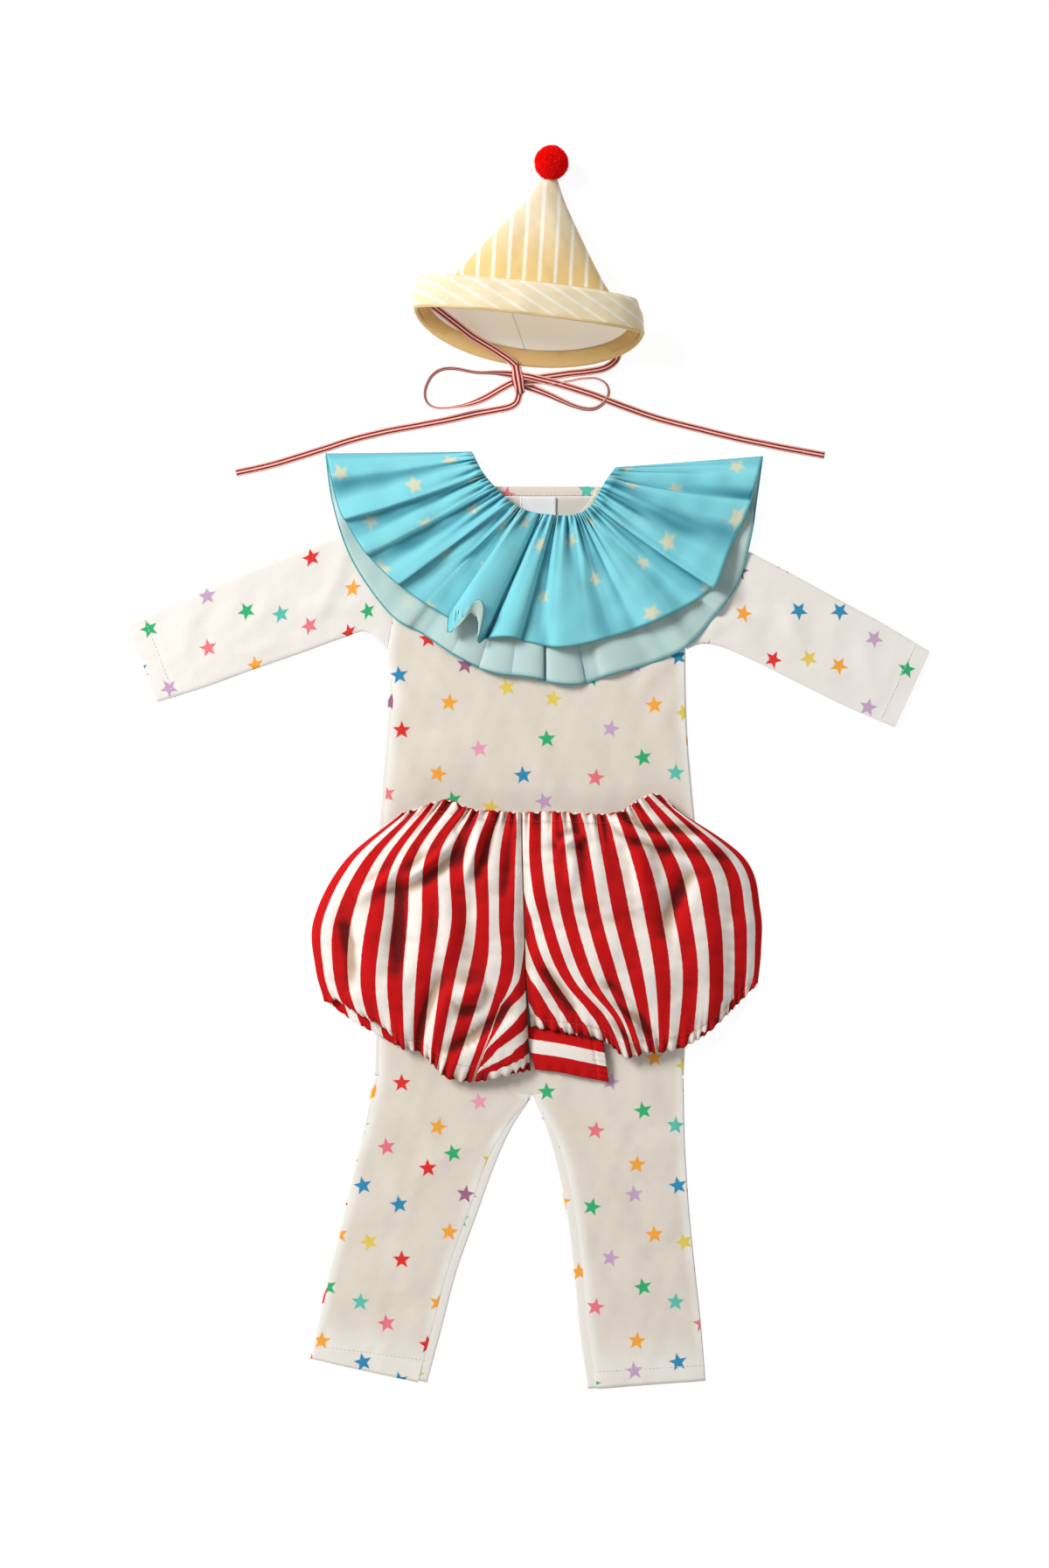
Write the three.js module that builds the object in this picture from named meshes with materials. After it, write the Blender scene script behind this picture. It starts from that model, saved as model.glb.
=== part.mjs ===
// A toddler's clown costume laid out on a table: star-print romper, ruffled collar,
// striped bloomers and a pointed hat with ribbon ties. Millimetres, +Z up off the table,
// +Y towards the hat, origin under the middle of the whole layout.
import * as THREE from 'three';

// Cloth and stacking
const cloth = 1.1;
const seamGap = 0.4;
const topOfBack = cloth + seamGap;
const romperLoft = 1.2;
const sleeveHeight = 2 * cloth + 1.2;
const collarBase = 4.4;
const collarHalfGap = 6.2;
const collarFoldGap = 3.4;
const bloomerBase = 4.3;
const bloomerPuff = 27;
const waistGape = 5.6;

// Sizes that several pieces share
const neckBindingWidth = 8.4;
const sideSeamInset = 4.6;
const inseamInset = 8;
const ribbon = { width: 6, thick: 1 };
const pompomRadius = 13.8;
const cuffThick = 1.2;
const crownThick = 1.3;
const liningThick = 1;

// The romper's outline, one row for each level from the underarm down to the crotch
const bodyLevels = [
  { y: 93, left: -112, right: 126 },
  { y: 55, left: -112, right: 126.5 },
  { y: 20, left: -114.8, right: 128 },
  { y: -15, left: -117.5, right: 131 },
  { y: -60, left: -120.5, right: 134.5 },
  { y: -120, left: -122, right: 132 },
  { y: -180, left: -122.5, right: 128 },
  { y: -248, left: -123.2, right: 124.6 },
];
const underarm = { left: -112.2, right: 126.4, y: 94 };
const shoulderTip = { left: -93.3, right: 105.2, y: 207.5 };
const neckPointY = 225.4;
const frontNeckDrop = 35;
const crotch = { x: 3.1, y: -264.6 };

// Legs: each row is one section from the crotch to the hem
const leftLeg = [
  { outerX: -123.2, outerY: -248, innerX: 2.1, innerY: -264.6 },
  { outerX: -130.9, outerY: -283.5, innerX: -13.3, innerY: -288.4 },
  { outerX: -139.3, outerY: -319.9, innerX: -26.6, innerY: -317.8 },
  { outerX: -149.1, outerY: -361.9, innerX: -41.3, innerY: -358.4 },
  { outerX: -160.3, outerY: -407.4, innerX: -57.4, innerY: -403.9 },
  { outerX: -168.7, outerY: -445.9, innerX: -69.3, innerY: -449.4 },
  { outerX: -174.3, outerY: -472.5, innerX: -80.5, innerY: -491.4 },
];
const rightLeg = [
  { outerX: 124.6, outerY: -248, innerX: 4.2, innerY: -264.6 },
  { outerX: 125.3, outerY: -288.4, innerX: 14.7, innerY: -289.8 },
  { outerX: 126.7, outerY: -319.9, innerX: 23.1, innerY: -319.9 },
  { outerX: 129.5, outerY: -358.4, innerX: 30.8, innerY: -358.4 },
  { outerX: 133.7, outerY: -400.4, innerX: 36.4, innerY: -403.9 },
  { outerX: 138.6, outerY: -445.9, innerX: 40.6, innerY: -449.4 },
  { outerX: 142.1, outerY: -490, innerX: 47.6, innerY: -496.5 },
];

// Sleeves: each row is one section from the cuff to the armhole
const leftSleeve = [
  { topX: -321.3, topY: 116.2, underX: -296.1, underY: 52.5 },
  { topX: -282.8, topY: 132.3, underX: -258.3, underY: 64.4 },
  { topX: -240.8, topY: 150.5, underX: -219.8, underY: 78.4 },
  { topX: -198.8, topY: 168, underX: -181.3, underY: 91.7 },
  { topX: -160.3, topY: 182.7, underX: -148.4, underY: 103.6 },
  { topX: -132.3, topY: 193.2, underX: -129.4, underY: 108.5 },
  { topX: -93.8, topY: 208.6, underX: -112.7, underY: 94.5 },
];
const rightSleeve = [
  { topX: 321.3, topY: 93.1, underX: 293.3, underY: 32.2 },
  { topX: 284.2, topY: 115.5, underX: 252.7, underY: 49.7 },
  { topX: 249.2, topY: 134.4, underX: 215.6, underY: 67.9 },
  { topX: 210.7, topY: 155.4, underX: 180.6, underY: 85.4 },
  { topX: 177.1, topY: 172.9, underX: 154.7, underY: 96.6 },
  { topX: 151.2, topY: 184.8, underX: 139.3, underY: 99 },
  { topX: 105.7, topY: 208.6, underX: 126.9, underY: 94.5 },
];

// Collar: the gathered neck edge and the hems of its front and back halves
const collarNeck = [
  { x: -44.8, y: 252.7 },
  { x: -34.3, y: 233.1 },
  { x: -15.4, y: 213.5 },
  { x: -1.4, y: 205.1 },
  { x: 18.2, y: 201.6 },
  { x: 35.7, y: 201.6 },
  { x: 49.7, y: 208.6 },
  { x: 60.2, y: 226.1 },
  { x: 70, y: 240.1 },
];
const collarFrontHem = [
  { x: -161.7, y: 251.3 },
  { x: -152, y: 212 },
  { x: -135.8, y: 180.6 },
  { x: -116.9, y: 158.2 },
  { x: -90.3, y: 136.5 },
  { x: -62.3, y: 119 },
  { x: -42, y: 104 },
  { x: -16.8, y: 104 },
  { x: 25.2, y: 96.6 },
  { x: 67.2, y: 105 },
  { x: 112.7, y: 122.5 },
  { x: 145.6, y: 144 },
  { x: 161.7, y: 177.1 },
  { x: 176, y: 209 },
  { x: 187.6, y: 249.2 },
];
const collarBackHem = [
  { x: -161.7, y: 249.2 },
  { x: -156.1, y: 212.1 },
  { x: -140.7, y: 166.6 },
  { x: -111, y: 124 },
  { x: -84, y: 107 },
  { x: -58, y: 90 },
  { x: -30.8, y: 77 },
  { x: -2.8, y: 73 },
  { x: 37.1, y: 66.5 },
  { x: 64, y: 74 },
  { x: 100, y: 84.5 },
  { x: 128, y: 98 },
  { x: 152.6, y: 126 },
  { x: 168.7, y: 150 },
  { x: 179, y: 190 },
  { x: 187.6, y: 248.5 },
];
const collarPleats = { front: 13, back: 9, frontLift: 9, backLift: 3.2 };

// Bloomers: each row is one grain line of the stripes, from the waist to the leg hem
const leftGrain = [
  { waistX: -101.5, waistY: -37, hipX: -147, hipY: -75, midX: -171.5, midY: -122, lowX: -170, lowY: -160, hemX: -163, hemY: -186 },
  { waistX: -88.9, waistY: -33, hipX: -125.3, hipY: -73, midX: -147.7, midY: -120, lowX: -149.8, lowY: -166, hemX: -140, hemY: -202 },
  { waistX: -75.6, waistY: -28, hipX: -110, hipY: -75, midX: -119.7, midY: -120, lowX: -126.7, lowY: -169, hemX: -121.8, hemY: -212 },
  { waistX: -63.7, waistY: -26, hipX: -96.6, hipY: -75, midX: -102.2, midY: -120, lowX: -105.7, lowY: -170, hemX: -102.2, hemY: -223 },
  { waistX: -50.4, waistY: -31, hipX: -74.9, hipY: -68, midX: -77, midY: -120, lowX: -82.6, lowY: -170, hemX: -88.2, hemY: -226 },
  { waistX: -40.6, waistY: -34, hipX: -56, hipY: -70, midX: -53.9, midY: -120, lowX: -63.7, lowY: -166, hemX: -75, hemY: -237 },
  { waistX: -27.3, waistY: -34.5, hipX: -37.1, hipY: -71, midX: -35.7, midY: -120, lowX: -41.3, lowY: -164, hemX: -66, hemY: -246 },
  { waistX: -13.3, waistY: -35.5, hipX: -16.8, hipY: -71, midX: -18.2, midY: -120, lowX: -16, lowY: -166, hemX: -44, hemY: -250 },
  { waistX: -5.2, waistY: -35.7, hipX: -4.9, hipY: -71, midX: -3.2, midY: -120, lowX: -2, lowY: -170, hemX: 1.6, hemY: -241 },
];
const rightGrain = [
  { waistX: -4.5, waistY: -35.7, hipX: -4.2, hipY: -71, midX: -2.5, midY: -120, lowX: -1.3, lowY: -170, hemX: 2.5, hemY: -206 },
  { waistX: 5.6, waistY: -35.7, hipX: 5.3, hipY: -75, midX: 13.6, midY: -120, lowX: 30, lowY: -165, hemX: 30, hemY: -211 },
  { waistX: 23.1, waistY: -35, hipX: 25.6, hipY: -75, midX: 32.2, midY: -120, lowX: 48.3, lowY: -168, hemX: 60, hemY: -217 },
  { waistX: 37.8, waistY: -36.4, hipX: 44.1, hipY: -75, midX: 52.2, midY: -120, lowX: 66.5, lowY: -168, hemX: 78, hemY: -231 },
  { waistX: 58.8, waistY: -37, hipX: 65.5, hipY: -75, midX: 74.2, midY: -120, lowX: 86.1, lowY: -168, hemX: 93, hemY: -227 },
  { waistX: 74.2, waistY: -35, hipX: 89.3, hipY: -75, midX: 100.1, midY: -120, lowX: 106.4, lowY: -168, hemX: 110, hemY: -226 },
  { waistX: 84.7, waistY: -28, hipX: 111.7, hipY: -75, midX: 122.5, midY: -120, lowX: 128.8, lowY: -166, hemX: 127, hemY: -221 },
  { waistX: 93.8, waistY: -23, hipX: 134.4, hipY: -73, midX: 146, midY: -118, lowX: 149.5, lowY: -163, hemX: 147, hemY: -208 },
  { waistX: 102.2, waistY: -21, hipX: 157, hipY: -74, midX: 168, midY: -116, lowX: 170, lowY: -155, hemX: 168, hemY: -188 },
  { waistX: 115, waistY: -31, hipX: 173, hipY: -72, midX: 186, midY: -114, lowX: 186.5, lowY: -146, hemX: 184, hemY: -172 },
];
// Where the right leg's back panel turns up over the crotch into the front
const turnUp = { left: 3, right: 61, foldLeftY: -242.5, foldRightY: -252, seamLeftY: -207.5, seamRightY: -219, lift: 7 };

// Hat: sections from the mouth to the tip; the mouth's lower half reaches out by sag
const hatSections = [
  { x: 0.7, y: 353, halfWidth: 87.5, height: 66, sag: 27, turn: -6.5, rest: 1.7 },
  { x: 1.5, y: 371, halfWidth: 72, height: 59, sag: 20, turn: -6, rest: 1.7 },
  { x: 2.4, y: 386, halfWidth: 59, height: 51, sag: 14, turn: -5, rest: 1.7 },
  { x: 5.5, y: 410, halfWidth: 43, height: 40, sag: 7, turn: -4, rest: 0.4 },
  { x: 9.8, y: 434, halfWidth: 27, height: 28, sag: 3, turn: -2, rest: 0.3 },
  { x: 14, y: 452, halfWidth: 15, height: 18, sag: 1, turn: 0, rest: 0.3 },
  { x: 17.6, y: 465.5, halfWidth: 6.5, height: 10, sag: 0, turn: 0, rest: 1.6 },
];
const cuffSections = [
  { x: 0.7, y: 352.5, halfWidth: 91.5, height: 70, sag: 30, turn: -6.5, rest: 0 },
  { x: 0.3, y: 365, halfWidth: 91, height: 73, sag: 23, turn: -6.3, rest: 0 },
  { x: -0.2, y: 377, halfWidth: 87, height: 74, sag: 14, turn: -6, rest: 0 },
];
const pompomCentre = { x: 18.9, y: 482.7, z: 13.9 };

// Ribbon routes, laid by hand: x, y and the height of the ribbon's middle
const tieLeftRoute = [
  [-76, 364.6, 32], [-71, 361.4, 29], [-65, 357.4, 25], [-55, 350.6, 18.5], [-44.8, 343.4, 13.4],
  [-36, 338.4, 10.6], [-27.3, 333.4, 9], [-20.5, 329, 8], [-14.8, 325.2, 7.4],
];
const tieRightRoute = [
  [71.2, 341.5, 9], [72.6, 336.5, 7.6], [72, 330, 5.6], [68.8, 324, 4.6], [60.2, 318.7, 4.3],
  [46.2, 316, 4.3], [35, 314.9, 4.3], [25.2, 313.6, 4.5], [12, 311.8, 4.8], [0.6, 310.5, 5],
];
const loopLeftRoute = [
  [-15.2, 306.4, 3.2], [-23.8, 301.7, 2.6], [-34.3, 295.6, 2.2], [-46, 290.7, 2], [-58.8, 288, 2], [-71, 287.2, 2],
  [-78.8, 289.8, 2.2], [-82.2, 296.1, 2.6], [-81.2, 304.5, 3], [-76.3, 313.2, 3.2], [-68.5, 318, 3.2],
  [-58, 318.6, 3.2], [-41.3, 315.6, 3.2], [-27.3, 315.4, 3.2], [-15, 314.4, 3.6],
];
const loopRightRoute = [
  [0.2, 304.4, 1.8], [14.7, 299, 1.4], [25.2, 294.3, 1.2], [35.7, 289.7, 1.2], [45.5, 286.9, 1.2], [54, 287.2, 1.2],
  [61.4, 292.4, 1.2], [64.6, 300, 1.2], [62, 307, 1.4], [54, 311, 1.6], [43, 310.7, 1.6],
  [32, 308.6, 1.6], [18, 306.9, 1.8], [2.5, 307.6, 2.2],
];
const tailLeftRoute = [
  [-7.5, 297, 2.2], [-9.5, 292, 1.2], [-15, 288.6, 0.8], [-27.3, 286, 0.7], [-41.3, 283.4, 0.7], [-58.8, 279.4, 0.7],
  [-72.8, 276.6, 0.7], [-90, 273.4, 0.7], [-107.8, 270.2, 0.7], [-125, 266.4, 0.7], [-142.8, 261.8, 0.7],
  [-160, 256.2, 0.7], [-177.8, 250.6, 0.7], [-205.8, 242.2, 0.7], [-233.8, 235.9, 0.7],
];
const tailRightRoute = [
  [1.8, 311.6, 8], [11.2, 309.4, 7], [25.2, 305.9, 6.4], [39.2, 301.7, 6], [53.2, 297.2, 5.4], [67.2, 291.9, 4.2],
  [81.2, 287, 2.2], [91, 283.6, 1.2], [102.2, 280, 0.8], [119, 275.4, 0.7], [137.2, 270.9, 0.7],
  [154.5, 266.6, 0.7], [172.2, 262.5, 0.7], [189.5, 259, 0.7], [207.2, 255.5, 0.7], [237.3, 249.9, 0.7],
];
const knot = { x: -8, y: 310.3, z: 5, halfWidth: 5.6, halfLength: 12, halfHeight: 4.6 };

const lerp = THREE.MathUtils.lerp;
const clamp = THREE.MathUtils.clamp;
const smooth = THREE.MathUtils.smoothstep;
const costume = new THREE.Group();

function addPiece(name, geometry, colour, roughness = 0.9) {
  const material = new THREE.MeshStandardMaterial({ color: colour, roughness, metalness: 0 });
  const mesh = new THREE.Mesh(geometry, material);
  mesh.name = name;
  costume.add(mesh);
  return mesh;
}

// A closed body from loose triangles, turned so that its faces point out
function closedBody(points, triangles) {
  let volume = 0;
  const normal = new THREE.Vector3();
  for (const [a, b, c] of triangles) {
    normal.crossVectors(points[b], points[c]);
    volume += points[a].dot(normal);
  }
  const index = [];
  for (const [a, b, c] of triangles) {
    if (volume > 0) index.push(a, b, c);
    else index.push(a, c, b);
  }
  const geometry = new THREE.BufferGeometry().setFromPoints(points);
  geometry.setIndex(index);
  geometry.computeVertexNormals();
  return geometry;
}

// A wall of cloth: a surface of four-sided cells thickened along its own normals
function clothWall(surface, cells, thickness) {
  const normals = surface.map(() => new THREE.Vector3());
  const edgeA = new THREE.Vector3();
  const edgeB = new THREE.Vector3();
  for (const [a, b, c, d] of cells) {
    edgeA.subVectors(surface[c], surface[a]);
    edgeB.subVectors(surface[d], surface[b]);
    const cross = edgeA.cross(edgeB);
    for (const corner of [a, b, c, d]) normals[corner].add(cross);
  }
  const count = surface.length;
  const outer = surface.map((point, i) => point.clone().addScaledVector(normals[i].normalize(), thickness));
  const points = [...surface, ...outer];
  const triangles = [];
  const edges = new Set();
  for (const cell of cells) {
    const [a, b, c, d] = cell;
    triangles.push([a + count, b + count, c + count], [a + count, c + count, d + count]);
    triangles.push([a, c, b], [a, d, c]);
    cell.forEach((corner, i) => edges.add(`${corner},${cell[(i + 1) % 4]}`));
  }
  for (const edge of edges) {
    const [a, b] = edge.split(',').map(Number);
    if (edges.has(`${b},${a}`)) continue;
    triangles.push([b + count, a + count, a], [b + count, a, b]);
  }
  return closedBody(points, triangles);
}

// Cells of a grid with `across` points in each of its rows; wrap joins each row's ends
function gridCells(rows, across, wrap = false) {
  const cells = [];
  const last = wrap ? across : across - 1;
  for (let i = 0; i < rows - 1; i++) {
    for (let j = 0; j < last; j++) {
      const next = (j + 1) % across;
      cells.push([i * across + j, (i + 1) * across + j, (i + 1) * across + next, i * across + next]);
    }
  }
  return cells;
}

// A solid tube wall between two lists of matching rings
function ringWall(outerRings, innerRings) {
  const around = outerRings[0].length;
  const rows = outerRings.length;
  const points = [...outerRings.flat(), ...innerRings.flat()];
  const shift = rows * around;
  const triangles = [];
  for (const [a, b, c, d] of gridCells(rows, around, true)) {
    triangles.push([a, b, c], [a, c, d]);
    triangles.push([a + shift, c + shift, b + shift], [a + shift, d + shift, c + shift]);
  }
  for (let j = 0; j < around; j++) {
    const next = (j + 1) % around;
    const end = (rows - 1) * around;
    triangles.push([j, next, next + shift], [j, next + shift, j + shift]);
    triangles.push([end + next, end + j, end + j + shift], [end + next, end + j + shift, end + next + shift]);
  }
  return closedBody(points, triangles);
}

const flatCurve = (table) => new THREE.SplineCurve(table.map((row) => new THREE.Vector2(row.x, row.y)));

// The romper's panels share their columns, so that the neck binding can meet them
const columns = 12;
const half = columns / 2;
const neckColumn = { first: 4, last: 9 };
const neckSpan = neckColumn.last - neckColumn.first;

// The upper edge of a body panel at one of its columns
function shoulderLine(column) {
  const { first, last } = neckColumn;
  if (column < first) return lerp(shoulderTip.y, neckPointY, column / first);
  if (column > last) return lerp(neckPointY, shoulderTip.y, (column - last) / (columns - last));
  return neckPointY;
}

function neckDip(column) {
  const along = clamp((column - neckColumn.first) / neckSpan, 0, 1);
  return Math.sin(Math.PI * along) ** 0.75;
}

const shoulderX = (column) => lerp(shoulderTip.left + seamGap, shoulderTip.right - seamGap, column / columns);

// One body panel with its two legs; inset pulls the seams in where the other panel shows
function bodyPanel({ bottom, loft, neckDrop, sideInset, legInset, flip }) {
  const surface = [];
  const cells = [];
  const lift = (u, v) => bottom + loft * Math.sin(Math.PI * clamp(u, 0, 1)) ** 0.6 * Math.sin(Math.PI * clamp(v, 0.03, 0.97)) ** 0.4;
  const upperRows = 4;
  for (let i = 0; i < upperRows; i++) {
    const down = i / upperRows;
    const left = lerp(shoulderTip.left, underarm.left, down) + seamGap;
    const right = lerp(shoulderTip.right, underarm.right, down) - seamGap;
    for (let j = 0; j <= columns; j++) {
      const u = j / columns;
      const inNeck = j >= neckColumn.first && j <= neckColumn.last;
      const top = shoulderLine(j) - neckDrop * neckDip(j) - (inNeck ? neckBindingWidth + seamGap : 0);
      surface.push(new THREE.Vector3(lerp(left, right, u), lerp(top, underarm.y, down), lift(u, down * 0.25)));
    }
  }
  bodyLevels.forEach((level, i) => {
    const ease = smooth(i, 0, 1);
    const left = level.left + seamGap + sideInset * ease;
    const right = level.right - seamGap;
    const v = 0.25 + (0.35 * i) / bodyLevels.length;
    const deep = i === bodyLevels.length - 1;
    for (let j = 0; j <= columns; j++) {
      const u = j / columns;
      const middle = deep ? (crotch.y - level.y) * (1 - Math.abs(2 * u - 1)) : 0;
      const x = deep ? (u < 0.5 ? lerp(left, crotch.x, u * 2) : lerp(crotch.x, right, u * 2 - 1)) : lerp(left, right, u);
      surface.push(new THREE.Vector3(x, level.y + middle, lift(u, v)));
    }
  });
  const rows = upperRows + bodyLevels.length;
  const across = columns + 1;
  cells.push(...gridCells(rows, across));
  const crotchRow = (rows - 1) * across;
  const legs = [
    { table: leftLeg, first: 0, side: 1 },
    { table: rightLeg, first: half, side: -1 },
  ];
  for (const { table, first, side } of legs) {
    let above = Array.from({ length: half + 1 }, (_, j) => crotchRow + first + j);
    table.slice(1).forEach((section, i) => {
      const inset = legInset * smooth(i, -1, 1);
      const outer = new THREE.Vector2(section.outerX + side * (seamGap + sideInset * 0.4), section.outerY);
      const inner = new THREE.Vector2(section.innerX - side * inset, section.innerY);
      const row = [];
      for (let j = 0; j <= half; j++) {
        const u = j / half;
        const from = side > 0 ? outer : inner;
        const to = side > 0 ? inner : outer;
        row.push(surface.length);
        surface.push(new THREE.Vector3(lerp(from.x, to.x, u), lerp(from.y, to.y, u), lift(u, 0.6 + 0.06 * i)));
      }
      for (let j = 0; j < half; j++) cells.push([above[j], row[j], row[j + 1], above[j + 1]]);
      above = row;
    });
  }
  if (flip) cells.forEach((cell) => cell.reverse());
  return clothWall(surface, cells, cloth);
}

const jersey = 0xf3ece4;
addPiece('romper_back', bodyPanel({
  bottom: cloth, loft: 0, neckDrop: 0, sideInset: 0, legInset: 0, flip: true,
}), jersey);
addPiece('romper_front', bodyPanel({
  bottom: topOfBack, loft: romperLoft, neckDrop: frontNeckDrop,
  sideInset: sideSeamInset, legInset: inseamInset, flip: false,
}), jersey);

// A flat tube of cloth through sections that run from its upper fold to its under seam
function sleeveTube(table) {
  const spread = [1, 0.93, 0.66, 0.33, 0, -0.33, -0.66, -0.93, -1];
  const rings = (inset) => table.map((row) => {
    const top = new THREE.Vector2(row.topX, row.topY);
    const under = new THREE.Vector2(row.underX, row.underY);
    const middle = top.clone().add(under).multiplyScalar(0.5);
    const reach = top.clone().sub(under).multiplyScalar(0.5);
    const shrink = 1 - inset / reach.length();
    const upper = spread.map((s) => {
      const flat = middle.clone().addScaledVector(reach, s * shrink);
      const round = Math.abs(s) === 1 ? 0.45 : 0;
      return new THREE.Vector3(flat.x, flat.y, lerp(sleeveHeight - inset, sleeveHeight / 2, round));
    });
    const lower = [...spread].reverse().map((s) => {
      const flat = middle.clone().addScaledVector(reach, s * shrink);
      const round = Math.abs(s) === 1 ? 0.45 : 0;
      return new THREE.Vector3(flat.x, flat.y, lerp(inset, sleeveHeight / 2, round));
    });
    return [...upper, ...lower];
  });
  return ringWall(rings(0), rings(cloth));
}
addPiece('sleeve_left', sleeveTube(leftSleeve), jersey);
addPiece('sleeve_right', sleeveTube(rightSleeve), jersey);

// The binding round the neck: straight across the back, dipping down the front
function neckBinding() {
  const bandInner = [];
  const bandSewn = [];
  for (let side = 0; side < 2; side++) {
    for (let i = 0; i <= neckSpan; i++) {
      const column = side === 0 ? neckColumn.first + i : neckColumn.last - i;
      const x = shoulderX(column);
      const y = neckPointY - (side === 0 ? frontNeckDrop * neckDip(column) : 0);
      const z = side === 0 ? topOfBack + 0.1 : cloth - 0.1;
      bandInner.push(new THREE.Vector3(x, y, z));
      bandSewn.push(new THREE.Vector3(x, y - neckBindingWidth, z));
    }
  }
  const surface = [...bandInner, ...bandSewn];
  return clothWall(surface, gridCells(2, bandInner.length, true), cloth - 0.1);
}
addPiece('neck_binding', neckBinding(), 0xe6e0dc);

function neckLabel() {
  const size = { left: -6.3, right: 22.4, top: 216.4, bottom: 200.2 };
  const outline = new THREE.Shape();
  outline.moveTo(size.left, size.bottom);
  outline.lineTo(size.right, size.bottom);
  outline.lineTo(size.right, size.top);
  outline.lineTo(size.left, size.top);
  const geometry = new THREE.ExtrudeGeometry(outline, { depth: cloth / 2, bevelEnabled: false });
  geometry.translate(0, 0, topOfBack - 0.05);
  return geometry;
}
addPiece('neck_label', neckLabel(), 0xe9e9ec, 0.7);

// What lies on the shoulders comes down to the table beyond the romper's shoulder line
function shoulderRest(x, y) {
  const line = x < 15 ? (x + 153) * 0.333 + 185 : (177 - x) * 0.447 + 173;
  return lerp(collarBase, 0.4, smooth(y - line, 12, 42));
}

function collarHalf({ hem, pleats, lift, above, across, rows }) {
  const neckCurve = flatCurve(collarNeck);
  const hemCurve = flatCurve(hem);
  const surface = [];
  for (let i = 0; i <= rows; i++) {
    const v = i / rows;
    for (let j = 0; j <= across; j++) {
      const u = j / across;
      const start = neckCurve.getPoint(u);
      const end = hemCurve.getPoint(u);
      const x = lerp(start.x, end.x, v);
      const y = lerp(start.y, end.y, v);
      const wave = 0.5 - 0.5 * Math.cos(2 * Math.PI * pleats * u);
      const height = shoulderRest(x, y) + above(u) + lift * wave * (0.25 + 0.75 * v);
      surface.push(new THREE.Vector3(x, y, height));
    }
  }
  return clothWall(surface, gridCells(rows + 1, across + 1), cloth);
}
const collarBlue = 0x8fd6e0;
addPiece('collar_back', collarHalf({
  hem: collarBackHem, pleats: collarPleats.back, lift: collarPleats.backLift,
  above: () => 0, across: collarPleats.back * 4, rows: 4,
}), 0xbfe0e2);
addPiece('collar_front', collarHalf({
  hem: collarFrontHem, pleats: collarPleats.front, lift: collarPleats.frontLift,
  above: (u) => lerp(collarFoldGap, collarHalfGap, smooth(Math.sin(Math.PI * u), 0, 0.3)),
  across: collarPleats.front * 4, rows: 4,
}), collarBlue);

const grainCurve = (row) => new THREE.SplineCurve([
  new THREE.Vector2(row.waistX, row.waistY),
  new THREE.Vector2(row.hipX, row.hipY),
  new THREE.Vector2(row.midX, row.midY),
  new THREE.Vector2(row.lowX, row.lowY),
  new THREE.Vector2(row.hemX, row.hemY),
]);

// Cloth over the romper's body comes down to the table beyond its sides
function bloomerRest(x) {
  const beyond = Math.abs(x - 5) - 136;
  return lerp(bloomerBase, 0.2, smooth(beyond, 0, 22));
}

function bloomerPanel(table, front, seamFirst) {
  const steps = 10;
  const curves = table.map(grainCurve);
  const surface = [];
  for (let i = 0; i <= steps; i++) {
    const v = i / steps;
    curves.forEach((curve, j) => {
      const point = curve.getPoint(v);
      const fromSide = seamFirst ? 1 - j / (curves.length - 1) : j / (curves.length - 1);
      const rest = bloomerRest(point.x);
      const dome = Math.sin(Math.PI * (0.02 + 0.73 * fromSide)) ** 0.55;
      const swell = Math.sin(Math.PI * clamp(0.06 + 0.9 * v, 0, 1)) ** 0.6;
      const gape = waistGape * (1 - smooth(v, 0, 0.3)) * Math.sin(Math.PI * (0.1 + 0.8 * fromSide));
      const height = front ? rest + cloth + seamGap + gape + bloomerPuff * dome * swell : rest;
      surface.push(new THREE.Vector3(point.x, point.y, height));
    });
  }
  return clothWall(surface, gridCells(steps + 1, curves.length), cloth);
}
const stripe = 0xd8262c;
addPiece('bloomers_back_left', bloomerPanel(leftGrain, false, false), stripe);
addPiece('bloomers_front_left', bloomerPanel(leftGrain, true, false), stripe);
addPiece('bloomers_back_right', bloomerPanel(rightGrain, false, true), stripe);
addPiece('bloomers_front_right', bloomerPanel(rightGrain, true, true), stripe);

// The back panel's inner leg turned up round the crotch
function crotchTurn() {
  const steps = 8;
  const turns = 5;
  const surface = [];
  for (let i = 0; i <= turns; i++) {
    const v = i / turns;
    for (let j = 0; j <= steps; j++) {
      const u = j / steps;
      const fold = lerp(turnUp.foldLeftY, turnUp.foldRightY, u);
      const seam = lerp(turnUp.seamLeftY, turnUp.seamRightY, u);
      const y = lerp(seam, fold, Math.sin((Math.PI / 2) * Math.min(v * 1.4, 1)));
      const z = bloomerBase + cloth + turnUp.lift * (1 - v * 0.9);
      surface.push(new THREE.Vector3(lerp(turnUp.left, turnUp.right, u), y - 0.6 * i, z));
    }
  }
  return clothWall(surface, gridCells(turns + 1, steps + 1), cloth);
}
addPiece('bloomers_inner_right', crotchTurn(), stripe);

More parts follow.
